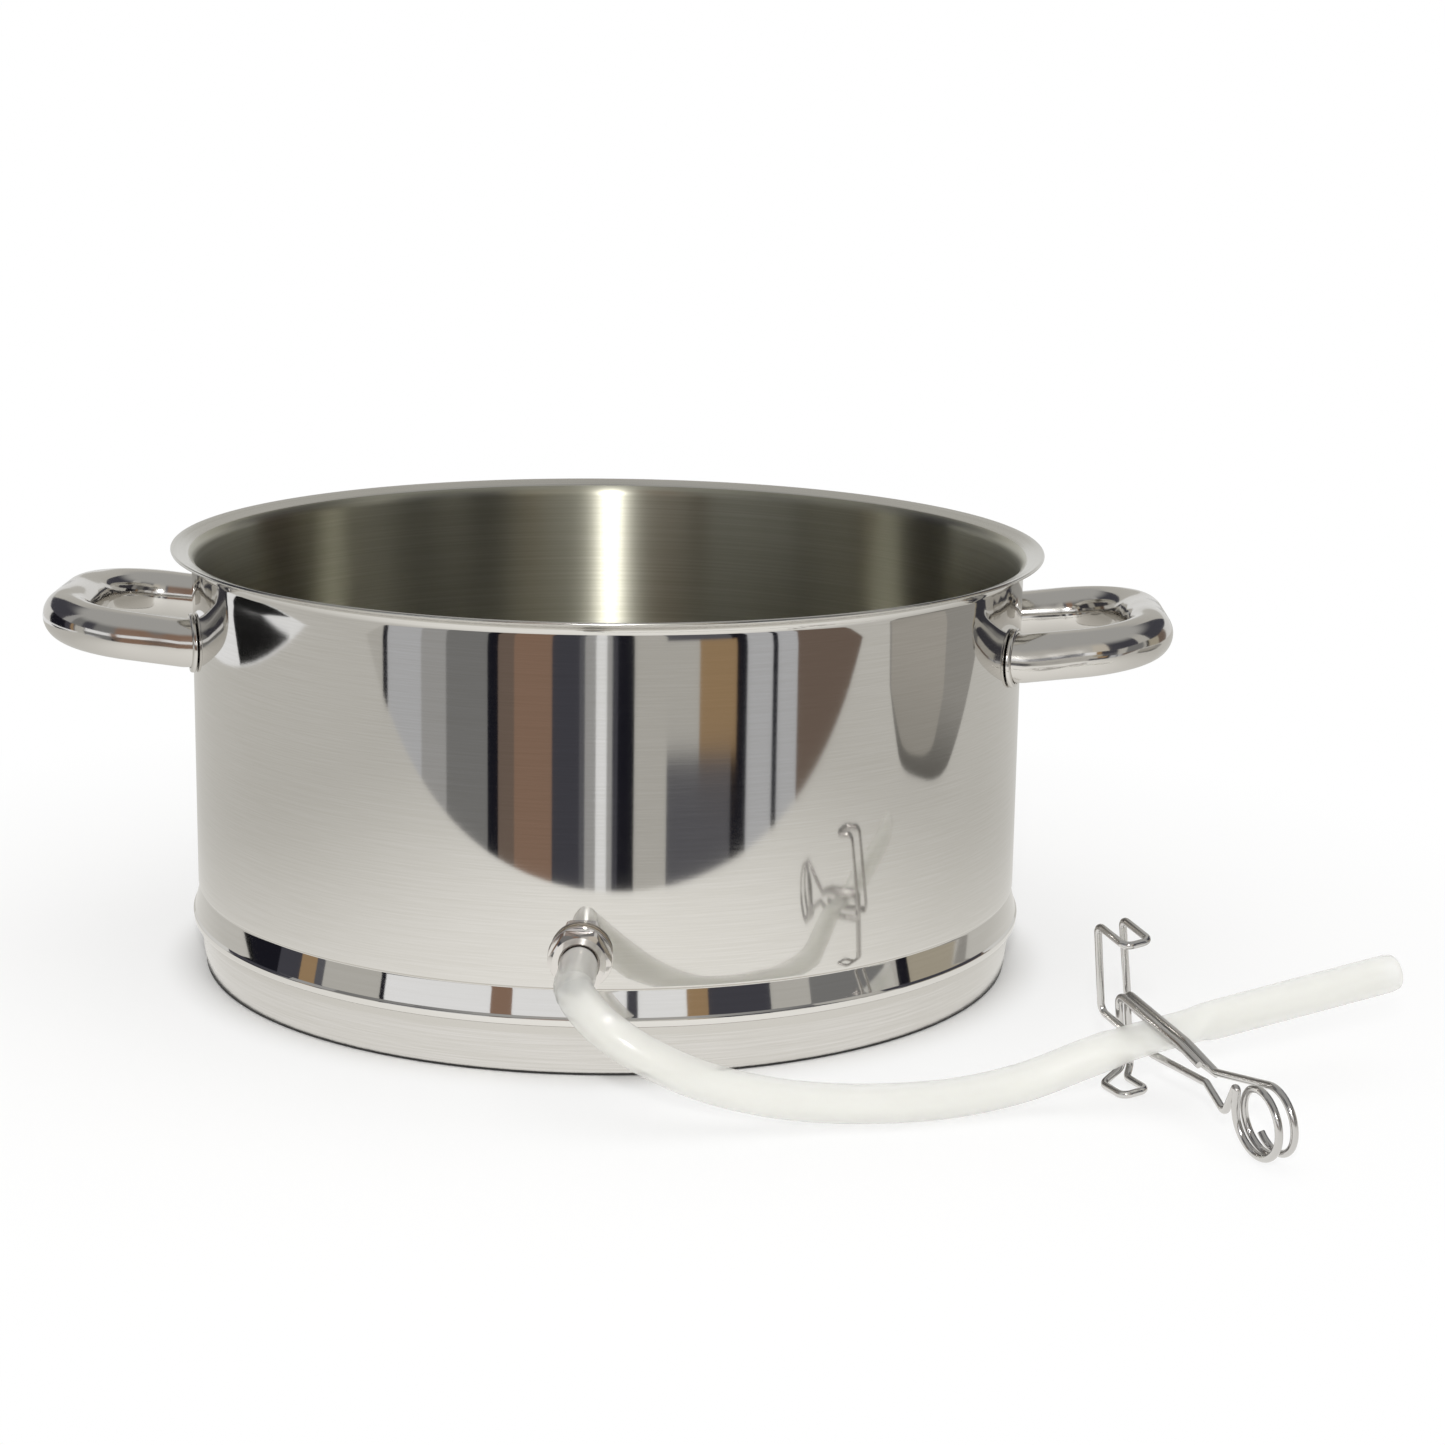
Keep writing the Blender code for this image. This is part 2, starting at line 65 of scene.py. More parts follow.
def make_camera():
    data = bpy.data.cameras.new("camera")
    data.lens = LENS_MM
    data.sensor_width = 36.0
    data.clip_start = 0.01
    camera = bpy.data.objects.new("camera", data)
    bpy.context.scene.collection.objects.link(camera)
    back = -CAMERA_LOOK.normalized()
    right = CAMERA_TOP.cross(back).normalized()
    top = back.cross(right)
    turn = camera.matrix_world.copy()
    for row in range(3):
        turn[row][0] = right[row]
        turn[row][1] = top[row]
        turn[row][2] = back[row]
        turn[row][3] = CAMERA_AT[row]
    camera.matrix_world = turn
    bpy.context.scene.camera = camera


make_camera()
print("camera lens in mm:", LENS_MM)

# %% [markdown]
# ## Helpers for the pieces
# Almost everything on this kettle is a turned or a bent form. So three helpers
# make the meshes: one turns an outline about an axis, one sweeps a closed
# section along a path, and one rounds the corners of a path with arcs. A last
# one adds the object, shades it smooth with crisp edges left crisp, sets it on
# its body and hides the solid that the piece stands for.

# %% mesh helpers


def add_piece(name, verts, faces, finishes, body="kettle", stands_for=None, crisp=38.0):
    """One visible piece that rides on a body and replaces a solid."""
    mesh = bpy.data.meshes.new(name)
    mesh.from_pydata([tuple(v) for v in verts], [], faces)
    work = bmesh.new()
    work.from_mesh(mesh)
    bmesh.ops.remove_doubles(work, verts=work.verts[:], dist=1e-7)
    bmesh.ops.recalc_face_normals(work, faces=work.faces[:])
    work.to_mesh(mesh)
    work.free()
    mesh.shade_smooth()
    mesh.set_sharp_from_angle(angle=math.radians(crisp))
    for finish in finishes:
        mesh.materials.append(finish)
    obj = bpy.data.objects.new(name, mesh)
    bpy.context.scene.collection.objects.link(obj)
    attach(obj, body)
    if stands_for:
        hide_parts(stands_for)
    return obj


def bridge(rings, closed):
    """Faces between rings of equal count, and round again if closed."""
    count = len(rings[0])
    verts = [v for ring in rings for v in ring]
    faces = []
    last = len(rings) if closed else len(rings) - 1
    for i in range(last):
        a = i * count
        b = ((i + 1) % len(rings)) * count
        for k in range(count):
            j = (k + 1) % count
            faces.append((a + k, a + j, b + j, b + k))
    return verts, faces


def turned(outline, segments, place):
    """Turn a closed outline of (radius, height) about an axis."""
    rings = []
    for i in range(segments):
        turn = 2 * math.pi * i / segments
        c, s = math.cos(turn), math.sin(turn)
        rings.append([place(r * c, r * s, h) for r, h in outline])
    return bridge(rings, True)


def upright(x, y, h):
    return (x, y, h)


def round_corners(points, radius, steps, end_share=0.45):
    """Replace the inner corners of a path with arcs. Radius may be a list.
    An arc may take up to end_share of the first and the last stretch."""
    path = [Vector(p) for p in points]
    radii = radius if isinstance(radius, list) else [radius] * (len(path) - 2)
    shares = [end_share] + [0.45] * (len(path) - 3) + [end_share]
    out = [path[0]]
    for i, wish in enumerate(radii):
        a, b, c = path[i:i + 3]
        into = (a - b).normalized()
        away = (c - b).normalized()
        half = into.angle(away) / 2
        if half > math.radians(86) or wish <= 0:
            out.append(b)
            continue
        back = min(wish / math.tan(half), shares[i] * (a - b).length, shares[i + 1] * (c - b).length)
        bend = back * math.tan(half)
        centre = b + (into + away).normalized() * (bend / math.sin(half))
        first = (b + into * back - centre).normalized()
        last = (b + away * back - centre).normalized()
        for k in range(steps + 1):
            out.append(centre + first.slerp(last, k / steps) * bend)
    out.append(path[-1])
    return out


def swept(path, section, first_side, capped=True):
    """Sweep a closed section of (side, up) points along a path."""
    rings = []
    side = Vector(first_side)
    for i, p in enumerate(path):
        a = path[max(i - 1, 0)]
        b = path[min(i + 1, len(path) - 1)]
        along = (b - a).normalized()
        side = (side - along * side.dot(along)).normalized()
        up = along.cross(side)
        rings.append([p + side * u + up * w for u, w in section])
    verts, faces = bridge(rings, False)
    if capped:
        count = len(section)
        end = len(verts) - count
        faces.append(tuple(range(count)))
        faces.append(tuple(range(end, end + count)))
    return verts, faces


def circle(radius, sides):
    turns = [2 * math.pi * k / sides for k in range(sides)]
    return [(radius * math.cos(t), radius * math.sin(t)) for t in turns]


print("mesh helpers ready")

# %% [markdown]
# ## Effects that several finishes share
# Stainless steel is never one even colour. The sheet was polished on a wheel,
# which leaves fine lines all the way round, and hands leave faint clouds on
# it. Two node groups make these effects once. The first puts out lines that
# are long one way and fine the other, the second soft clouds. Each material
# then uses them with its own values.

# %% node groups


def new_group(name, inputs, outputs):
    group = bpy.data.node_groups.new(name, 'ShaderNodeTree')
    for label, value in inputs:
        socket = group.interface.new_socket(label, in_out='INPUT', socket_type='NodeSocketFloat')
        socket.default_value = value
    for label in outputs:
        group.interface.new_socket(label, in_out='OUTPUT', socket_type='NodeSocketFloat')
    start = group.nodes.new('NodeGroupInput')
    end = group.nodes.new('NodeGroupOutput')
    return group, start, end


def math_node(tree, operation, a, b=None):
    node = tree.nodes.new('ShaderNodeMath')
    node.operation = operation
    for slot, value in zip(node.inputs, (a, b)):
        if value is None:
            continue
        if isinstance(value, (int, float)):
            slot.default_value = value
        else:
            tree.links.new(value, slot)
    return node.outputs[0]


def make_brush_lines():
    """Fine lines round the kettle axis, with their strength in patches."""
    group, start, end = new_group(
        "brush_lines", [("Around", 4.0), ("Per Metre", 900.0), ("Patches", 9.0)],
        ["Lines", "Patchy Lines"])
    links = group.links
    coords = group.nodes.new('ShaderNodeTexCoord')
    parts = group.nodes.new('ShaderNodeSeparateXYZ')
    links.new(coords.outputs["Object"], parts.inputs[0])
    stretched = group.nodes.new('ShaderNodeCombineXYZ')
    for axis, factor in (("X", "Around"), ("Y", "Around"), ("Z", "Per Metre")):
        scaled = math_node(group, 'MULTIPLY', parts.outputs[axis], start.outputs[factor])
        links.new(scaled, stretched.inputs[axis])
    lines = group.nodes.new('ShaderNodeTexNoise')
    lines.inputs["Scale"].default_value = 1.0
    lines.inputs["Detail"].default_value = 3.0
    lines.inputs["Roughness"].default_value = 0.65
    links.new(stretched.outputs[0], lines.inputs["Vector"])
    patches = group.nodes.new('ShaderNodeTexNoise')
    patches.inputs["Detail"].default_value = 2.0
    links.new(coords.outputs["Object"], patches.inputs["Vector"])
    links.new(start.outputs["Patches"], patches.inputs["Scale"])
    patchy = math_node(group, 'MULTIPLY', lines.outputs["Fac"], patches.outputs["Fac"])
    links.new(lines.outputs["Fac"], end.inputs["Lines"])
    links.new(patchy, end.inputs["Patchy Lines"])
    return group


def make_clouds():
    """Soft clouds that hands and water leave on steel."""
    group, start, end = new_group(
        "clouds", [("Scale", 14.0), ("Detail", 5.0), ("Low", 0.35), ("High", 0.75)], ["Clouds"])
    coords = group.nodes.new('ShaderNodeTexCoord')
    noise = group.nodes.new('ShaderNodeTexNoise')
    group.links.new(coords.outputs["Object"], noise.inputs["Vector"])
    group.links.new(start.outputs["Scale"], noise.inputs["Scale"])
    group.links.new(start.outputs["Detail"], noise.inputs["Detail"])
    remap = group.nodes.new('ShaderNodeMapRange')
    remap.interpolation_type = 'SMOOTHSTEP'
    group.links.new(noise.outputs["Fac"], remap.inputs["Value"])
    group.links.new(start.outputs["Low"], remap.inputs["From Min"])
    group.links.new(start.outputs["High"], remap.inputs["From Max"])
    group.links.new(remap.outputs["Result"], end.inputs["Clouds"])
    return group


BRUSH_LINES = make_brush_lines()
CLOUDS = make_clouds()
print("node groups:", BRUSH_LINES.name, CLOUDS.name)

# %% [markdown]
# ## The finishes
# Steel is metal all over, so its colour is in Base Color and its polish in
# Roughness. An image of a brushed sheet could be wrapped round the wall, but
# it would repeat and blur close up, so the shared groups make the lines. They
# move the colour and the roughness a little and give a very small bump, and
# smears are a touch warmer than clean steel. On turned pieces the lines run
# round the axis, and a highlight then draws out across them, so the turned
# finishes are anisotropic with a tangent round Z.

# %% material helpers
SMEAR_SHARE = 0.35
SMEAR_TINT = (1.0, 1.05, 1.25)
# Painted shade: how much the seam under the bead darkens the colour.
SEAM_SHADE_SHARE = 1.6


def new_finish(name, color, metallic, roughness):
    finish = bpy.data.materials.new(name)
    finish.use_nodes = True
    shader = finish.node_tree.nodes["Principled BSDF"]
    shader.inputs["Base Color"].default_value = (*color, 1.0)
    shader.inputs["Metallic"].default_value = metallic
    shader.inputs["Roughness"].default_value = roughness
    return finish, finish.node_tree, shader


def place_group(tree, group, **values):
    node = tree.nodes.new('ShaderNodeGroup')
    node.node_tree = group
    for label, value in values.items():
        node.inputs[label.replace("_", " ")].default_value = value
    return node


def between(tree, value, start, end, low=0.0, high=1.0, eased=False):
    """Map a value from the range start to end onto the range low to high."""
    node = tree.nodes.new('ShaderNodeMapRange')
    if eased:
        node.interpolation_type = 'SMOOTHSTEP'
    tree.links.new(value, node.inputs["Value"])
    node.inputs["From Min"].default_value = start
    node.inputs["From Max"].default_value = end
    node.inputs["To Min"].default_value = low
    node.inputs["To Max"].default_value = high
    return node.outputs["Result"]


def blend_colors(tree, factor, a, b):
    """Mix two linked or plain colours by a linked factor."""
    node = tree.nodes.new('ShaderNodeMix')
    node.data_type = 'RGBA'
    tree.links.new(factor, node.inputs["Factor"])
    sockets = [s for s in node.inputs if s.type == 'RGBA']
    for socket, color in zip(sockets, (a, b)):
        if isinstance(color, tuple):
            socket.default_value = (*color, 1.0)
        else:
            tree.links.new(color, socket)
    return [s for s in node.outputs if s.type == 'RGBA'][0]


def bump(tree, shader, height, distance, strength=1.0):
    node = tree.nodes.new('ShaderNodeBump')
    node.inputs["Distance"].default_value = distance
    node.inputs["Strength"].default_value = strength
    tree.links.new(height, node.inputs["Height"])
    tree.links.new(node.outputs["Normal"], shader.inputs["Normal"])


def rough_by(tree, shader, value, smooth, rough):
    """Let a value of 0 to 1 set the roughness between two ends."""
    tree.links.new(between(tree, value, 0.0, 1.0, smooth, rough), shader.inputs["Roughness"])


def paint_seam_shade(tree, light, shaded_seam):
    """Painted shade: take light from the colour between the two heights of a seam, where the bead above
    shades the skirt.
    """
    coords = tree.nodes.new('ShaderNodeTexCoord')
    parts = tree.nodes.new('ShaderNodeSeparateXYZ')
    tree.links.new(coords.outputs["Object"], parts.inputs[0])
    shade = between(tree, parts.outputs["Z"], *shaded_seam, 0.0, SEAM_SHADE_SHARE)
    return math_node(tree, 'SUBTRACT', light, shade)


def turned_steel(name, color, smooth, rough, anisotropy, contrast, depth, around, per_metre,
                 shaded_seam=None):
    """Steel sheet with fine lines round the kettle axis and faint smears. It may get
    painted shade: a little darker towards a seam, given as two heights."""
    finish, tree, shader = new_finish(name, color, 1.0, rough)
    lines = place_group(tree, BRUSH_LINES, Around=around, Per_Metre=per_metre, Patches=8.0)
    clouds = place_group(tree, CLOUDS, Scale=11.0, Low=0.38, High=0.72)
    shade = math_node(tree, 'ADD', lines.outputs["Lines"], clouds.outputs["Clouds"])
    shade = math_node(tree, 'MULTIPLY', shade, 0.5)
    rough_by(tree, shader, shade, smooth, rough)
    light = between(tree, lines.outputs["Lines"], 0.30, 0.70)
    # Painted shade: the colour gets darker towards the seam under the bead.
    if shaded_seam:
        light = paint_seam_shade(tree, light, shaded_seam)
    smears = math_node(tree, 'MULTIPLY', clouds.outputs["Clouds"], SMEAR_SHARE)
    light = math_node(tree, 'SUBTRACT', light, smears)
    darker = tuple((1 - contrast * share) * c for c, share in zip(color, SMEAR_TINT))
    tree.links.new(blend_colors(tree, light, darker, color), shader.inputs["Base Color"])
    shader.inputs["Anisotropic"].default_value = anisotropy
    shader.inputs["Anisotropic Rotation"].default_value = 0.25
    tangent = tree.nodes.new('ShaderNodeTangent')
    tangent.direction_type = 'RADIAL'
    tangent.axis = 'Z'
    tree.links.new(tangent.outputs[0], shader.inputs["Tangent"])
    bump(tree, shader, lines.outputs["Patchy Lines"], depth)
    return finish


def plain_steel(name, color, smooth, rough, wave=0.0):
    """Polished steel with faint clouds, and slow waves where it was bent."""
    finish, tree, shader = new_finish(name, color, 1.0, rough)
    clouds = place_group(tree, CLOUDS, Scale=60.0, Low=0.3, High=0.75)
    rough_by(tree, shader, clouds.outputs["Clouds"], smooth, rough)
    if wave:
        waves = place_group(tree, CLOUDS, Scale=42.0, Detail=0.6, Low=0.2, High=0.8)
        bump(tree, shader, waves.outputs["Clouds"], wave)
    return finish


# %% finishes
WALL_STEEL = turned_steel(
    "wall_steel", (0.70, 0.685, 0.66), smooth=0.03, rough=0.075, anisotropy=0.10,
    contrast=0.07, depth=0.0000008, around=45.0, per_metre=2400.0)
BAND_STEEL = turned_steel(
    "band_steel", (0.72, 0.705, 0.68), smooth=0.03, rough=0.06, anisotropy=0.10,
    contrast=0.04, depth=0.0000003, around=20.0, per_metre=900.0)
# The skirt gets painted shade in the crease under the bead, between the two seam heights.
SKIRT_STEEL = turned_steel(
    "skirt_steel", (0.67, 0.655, 0.637), smooth=0.16, rough=0.26, anisotropy=0.40,
    contrast=0.12, depth=0.000004, around=30.0, per_metre=2200.0, shaded_seam=(0.0120, 0.0152))
INSIDE_STEEL = turned_steel(
    "inside_steel", (0.53, 0.52, 0.443), smooth=0.31, rough=0.38, anisotropy=1.0,
    contrast=0.16, depth=0.000003, around=10.0, per_metre=1400.0)
LIP_STEEL = turned_steel(
    "lip_steel", (0.66, 0.65, 0.62), smooth=0.17, rough=0.25, anisotropy=0.40,
    contrast=0.10, depth=0.000003, around=6.0, per_metre=2500.0)
HANDLE_STEEL = plain_steel("handle_steel", (0.68, 0.66, 0.63), 0.08, 0.15, wave=0.0010)
FITTING_STEEL = plain_steel("fitting_steel", (0.68, 0.655, 0.63), 0.06, 0.16)
WIRE_STEEL = plain_steel("wire_steel", (0.62, 0.61, 0.60), 0.10, 0.22)


def make_silicone():
    """Soft frosted hose: partly see-through, with light that spreads in its
    wall and a waxy sheen on its skin."""
    finish, tree, shader = new_finish("hose_silicone", (0.93, 0.93, 0.885), 0.0, 0.34)
    shader.inputs["Transmission Weight"].default_value = 0.25
    shader.inputs["Alpha"].default_value = 0.45
    shader.inputs["Coat Weight"].default_value = 0.6
    shader.inputs["Coat Roughness"].default_value = 0.12
    shader.inputs["Subsurface Weight"].default_value = 0.50
    shader.inputs["Subsurface Radius"].default_value = (1.0, 1.0, 0.95)
    shader.inputs["Subsurface Scale"].default_value = 0.004
    shader.inputs["IOR"].default_value = 1.41
    clouds = place_group(tree, CLOUDS, Scale=35.0, Low=0.2, High=0.9)
    rough_by(tree, shader, clouds.outputs["Clouds"], 0.30, 0.40)
    return finish


def make_rubber():
    finish, tree, shader = new_finish("seal_rubber", (0.42, 0.36, 0.28), 0.0, 0.55)
    clouds = place_group(tree, CLOUDS, Scale=400.0, Low=0.3, High=0.7)
    rough_by(tree, shader, clouds.outputs["Clouds"], 0.48, 0.66)
    return finish


HOSE_SILICONE = make_silicone()
SEAL_RUBBER = make_rubber()
print("finishes:", len(bpy.data.materials))

# %% [markdown]
# ## The drain hose
# The hose is pushed over the spigot, drops to the table, runs along it and is
# pinched flat by the clamp before its open end stands up a little. A curve
# with a round bevel can't go flat, so the hose is a loft: rings along a smooth
# line through the route's points, each ring an ellipse. Away from the jaws the
# ellipse is the round hose, between them it is wide and thin. A second set of
# rings is the bore, so that light passes through the wall as it does in the
# real hose.

# %% hose line
SPIGOT_Z = 0.0364
NUT_FACE = 0.1383
BARB_L = 0.0200
CLEAR = 0.0003
HOSE_R = 0.0055
HOSE_WALL = 0.0016
COIL_AT = Vector((0.1850, -0.1870, 0.0117))
ARM_DIR = Vector((-0.4364, 0.8847, 0.1637)).normalized()
HOSE_DIR = Vector((0.8990, 0.4212, 0.1203)).normalized()
JAW_AT = 0.0525
PINCH_T = 0.0038
PINCH_W = 0.0164
PINCH_L = 0.0112
PINCH_FADE = 0.0115
TAIL_L = 0.0780
HOSE_STEP = 0.0020
ROUTE = [
    (0.0015, -0.1640, 0.0345),
    (0.0080, -0.1700, 0.0292),
    (0.0190, -0.1730, 0.0225),
    (0.0350, -0.1722, 0.0150),
    (0.0525, -0.1695, 0.0098),
    (0.0710, -0.1655, 0.0068),
    (0.0895, -0.1620, 0.0061),
    (0.1070, -0.1560, 0.0062),
    (0.1245, -0.1495, 0.0086),
    (0.1420, -0.1465, 0.0150),
]
HOSE_EXIT = Vector((0.0, -(NUT_FACE + CLEAR), SPIGOT_Z))
JAW_POINT = COIL_AT + ARM_DIR * JAW_AT


def hose_line():
    """Points at even steps on a smooth curve through the route."""
    tip = BARB_L + 0.002
    flat = PINCH_L / 2 + 0.001
    knots = [HOSE_EXIT + Vector((0, -tip * share, 0)) for share in (0.0, 0.5, 1.0)]
    knots += [Vector(p) for p in ROUTE]
    knots += [JAW_POINT + HOSE_DIR * d for d in (-flat, 0.0, flat, flat + 0.02, TAIL_L)]
    line = []
    for i in range(len(knots) - 1):
        a = knots[max(i - 1, 0)]
        b, c = knots[i], knots[i + 1]
        d = knots[min(i + 2, len(knots) - 1)]
        span = (c - b).length
        leave = (c - a).normalized() * span
        arrive = (d - b).normalized() * span
        pieces = max(1, round(span / HOSE_STEP))
        for k in range(pieces):
            t = k / pieces
            line.append(b * (2 * t ** 3 - 3 * t ** 2 + 1) + leave * (t ** 3 - 2 * t ** 2 + t)
                        + c * (3 * t ** 2 - 2 * t ** 3) + arrive * (t ** 3 - t ** 2))
    line.append(knots[-1])
    return line


HOSE_LINE = hose_line()
HOSE_RUN = [0.0]
for near, far in zip(HOSE_LINE, HOSE_LINE[1:]):
    HOSE_RUN.append(HOSE_RUN[-1] + (far - near).length)
PINCHED = min(range(len(HOSE_LINE)), key=lambda i: (HOSE_LINE[i] - JAW_POINT).length)

# %% hose mesh
HOSE_SIDES = 40
EDGE_ROUND = 0.0004


def squeeze(distance):
    """Share of the flat shape at a distance from the jaws."""
    t = (abs(distance) - PINCH_L / 2) / PINCH_FADE
    t = min(max(t, 0.0), 1.0)
    return 1 - t * t * (3 - 2 * t)


def hose_ring(index, inset):
    line = HOSE_LINE
    a = line[max(index - 1, 0)]
    b = line[min(index + 1, len(line) - 1)]
    along = (b - a).normalized()
    side = (ARM_DIR - along * ARM_DIR.dot(along)).normalized()
    up = along.cross(side)
    flat = squeeze(HOSE_RUN[index] - HOSE_RUN[PINCHED])
    wide = HOSE_R + (PINCH_W / 2 - HOSE_R) * flat - inset
    thick = HOSE_R + (PINCH_T / 2 - HOSE_R) * flat - inset
    return [line[index] + side * u * wide + up * w * thick for u, w in circle(1.0, HOSE_SIDES)]


def make_hose():
    last = len(HOSE_LINE) - 1
    outside = [hose_ring(i, 0.0) for i in range(last + 1)]
    bore = [hose_ring(i, HOSE_WALL) for i in range(last + 1)]
    outside[0] = hose_ring(0, EDGE_ROUND)
    outside[last] = hose_ring(last, EDGE_ROUND)
    verts, faces = bridge(outside + bore[::-1], True)
    return add_piece("hose", verts, faces, [HOSE_SILICONE], stands_for="drain_hose")


HOSE = make_hose()
print("hose faces:", len(HOSE.data.polygons))

# %% [markdown]
# ## The kettle shell
# The shell is drawn from one sheet: a skirt that nests in the pan below, a
# bead that stands on its rim, a polished band over the bead, the tall wall and
# a lip that bends out at the top. It could be built from cylinders, but it is
# one skin, so its outline is drawn once, each corner is rounded with its own
# bend, and the line is turned round the axis. The band leans in as it rises
# and so mirrors more of the room than the upright wall does. Two extra points
# near its ends keep its smooth shading flat. Faces get their finish by where
# they lie: the wall is brushed, the band is bright, the skirt and the inside
# are satin.

# %% shell outline
SHEET = 0.0010
WALL_R = 0.1300
KETTLE_H = 0.1330
LIP_REACH = 0.0062
LIP_BEND = 0.0032
LIP_SLOPE = 18.0
SKIRT_R = 0.1278
SKIRT_DRAFT = 0.0020
SEAT_Z = 0.0155
CREST_R = WALL_R + 0.00175
CREST_Z = SEAT_Z + 0.0022
BAND_Z = SEAT_Z + 0.0105
BAND_OUT = 0.0012
BAND_IN = 0.0007
FOOT_W = 0.0040
BEAD_LEAN = 0.0002
BAND_FOOT = 0.0007
BAND_ROLL = 0.0008
BAND_CLEAR = 0.0040
BAND_SUPPORTS = (0.08, 0.92)
FOOT_BENDS = [0.0012, 0.0004, 0.0007, 0.0006, 0.00015, 0, 0, 0.0003, 0.0009]
INNER_BEND = 0.0004
EASE = 0.0035
EASE_OUT = 0.00006
SHELL_SEGMENTS = 240


def offset_line(line, distance):
    """The same line moved to its left by the sheet's thickness."""
    moved = []
    for i, p in enumerate(line):
        before = (p - line[i - 1]).normalized() if i else None
        after = (line[i + 1] - p).normalized() if i + 1 < len(line) else None
        before = before or after
        after = after or before
        left = Vector((-before.y, before.x))
        mitre = (left + Vector((-after.y, after.x))).normalized()
        moved.append(p + mitre * (distance / mitre.dot(left)))
    return moved


def flat_corners(points, radii, steps):
    lifted = round_corners([(r, h, 0.0) for r, h in points], radii, steps)
    return [Vector((p.x, p.y)) for p in lifted]


def shell_outline():
    """The sheet's outer line from the foot to the lip, and the inner line
    back. The wall rolls over the band's top and eases into the lip."""
    slope = math.radians(LIP_SLOPE)
    sweep = math.pi / 2 - slope
    lip_r = WALL_R + LIP_BEND
    rim = Vector((WALL_R + LIP_REACH, KETTLE_H - SHEET * math.cos(slope)))
    straight = LIP_REACH - LIP_BEND * (1 - math.cos(sweep))
    lip_z = rim.y - straight * math.tan(slope) - LIP_BEND * math.sin(sweep)
    band_foot = Vector((WALL_R + BAND_OUT, CREST_Z + BAND_FOOT))
    band_top = Vector((WALL_R - BAND_IN, BAND_Z))
    foot = [Vector(p) for p in (
        (SKIRT_R - FOOT_W, 0.0),
        (SKIRT_R, 0.0),
        (SKIRT_R + SKIRT_DRAFT, SEAT_Z),
        (CREST_R - BEAD_LEAN, SEAT_Z),
        (CREST_R, CREST_Z),
        band_foot,
        *(band_foot.lerp(band_top, share) for share in BAND_SUPPORTS),
        band_top,
        (WALL_R, BAND_Z + BAND_ROLL),
        (WALL_R, BAND_Z + BAND_CLEAR),
    )]
    outer = flat_corners(foot, FOOT_BENDS, 6)
    inner = flat_corners(offset_line(foot, SHEET), INNER_BEND, 3)
    upper = []
    for step in range(1, 7):
        upper.append(Vector((WALL_R, foot[-1].y + (lip_z - EASE - foot[-1].y) * step / 6)))
    for step in range(1, 5):
        share = step / 5
        upper.append(Vector((WALL_R + EASE_OUT * share ** 2, lip_z - EASE * (1 - share))))
    for step in range(11):
        turn = sweep * step / 10
        upper.append(Vector((lip_r - (LIP_BEND - EASE_OUT * (1 - step / 10)) * math.cos(turn),
                             lip_z + LIP_BEND * math.sin(turn))))
    bend_end = upper[-1]
    upper += [bend_end.lerp(rim, share) for share in (0.15, 0.6, 1.0)]
    outer += upper
    inner += offset_line(upper, SHEET)
    end = (inner[-1] - outer[-1]) / 2
    nose = Vector((end.y, -end.x))
    edge = []
    for step in range(1, 6):
        turn = math.pi * step / 6
        edge.append(outer[-1] + end - end * math.cos(turn) + nose * math.sin(turn) * 0.7)
    line = outer + edge + inner[::-1]
    return [(p.x, p.y) for p in line]


OUTLINE = shell_outline()
print("points in the shell's outline:", len(OUTLINE))

# %% shell mesh


def paint_shell(shell):
    """Give each face its finish from its place on the outline."""
    wall, band, skirt, inside, lip = range(5)
    for face in shell.data.polygons:
        middle = face.center
        away = math.hypot(middle.x, middle.y)
        outward = face.normal.x * middle.x + face.normal.y * middle.y
        if away > WALL_R + LIP_BEND * 0.3 and middle.z > BAND_Z:
            face.material_index = lip
        elif outward < 0 and middle.z > 0.001:
            face.material_index = inside
        elif middle.z < SEAT_Z + 0.0003:
            face.material_index = skirt
        elif middle.z < BAND_Z + 0.0001:
            face.material_index = band
        else:
            face.material_index = wall


def make_shell():
    verts, faces = turned(OUTLINE, SHELL_SEGMENTS, upright)
    finishes = [WALL_STEEL, BAND_STEEL, SKIRT_STEEL, INSIDE_STEEL, LIP_STEEL]
    shell = add_piece("shell", verts, faces, finishes, stands_for="kettle_shell")
    paint_shell(shell)
    return shell


SHELL = make_shell()
print("shell faces:", len(SHELL.data.polygons))

# %% [markdown]
# ## The juice floor and the steam funnel
# Inside the shell a ring floor catches the juice and falls towards the
# spigot's side, and a cone over its hole brings the steam up. Both are turned
# sheets in the same satin steel as the inside of the wall.

# %% floor and funnel
FLOOR_FALL = 0.0050
FLOOR_HOLE_R = 0.0400
FLANGE_W = 0.0100
FUNNEL_H = 0.0580
FUNNEL_TOP_R = 0.0210
SEAL_R = 0.0090
FLOOR_EDGE_R = WALL_R - BAND_IN - SHEET - CLEAR
FLOOR_EDGE_Z = SPIGOT_Z - SEAL_R - CLEAR
FLOOR_TOP_Z = FLOOR_EDGE_Z + FLOOR_FALL


def sheet_outline(points, radii):
    line = flat_corners(points, radii, 5)
    both = line + offset_line(line, SHEET)[::-1]
    return [(p.x, p.y) for p in both]


def make_juice_floor():
    outline = sheet_outline([
        (FLOOR_EDGE_R, CREST_Z + SHEET + CLEAR),
        (FLOOR_EDGE_R, FLOOR_EDGE_Z),
        (FLOOR_HOLE_R, FLOOR_TOP_Z),
    ], [0.0025])
    verts, faces = turned(outline, 160, upright)
    return add_piece("floor_ring", verts, faces, [INSIDE_STEEL], stands_for="juice_floor")


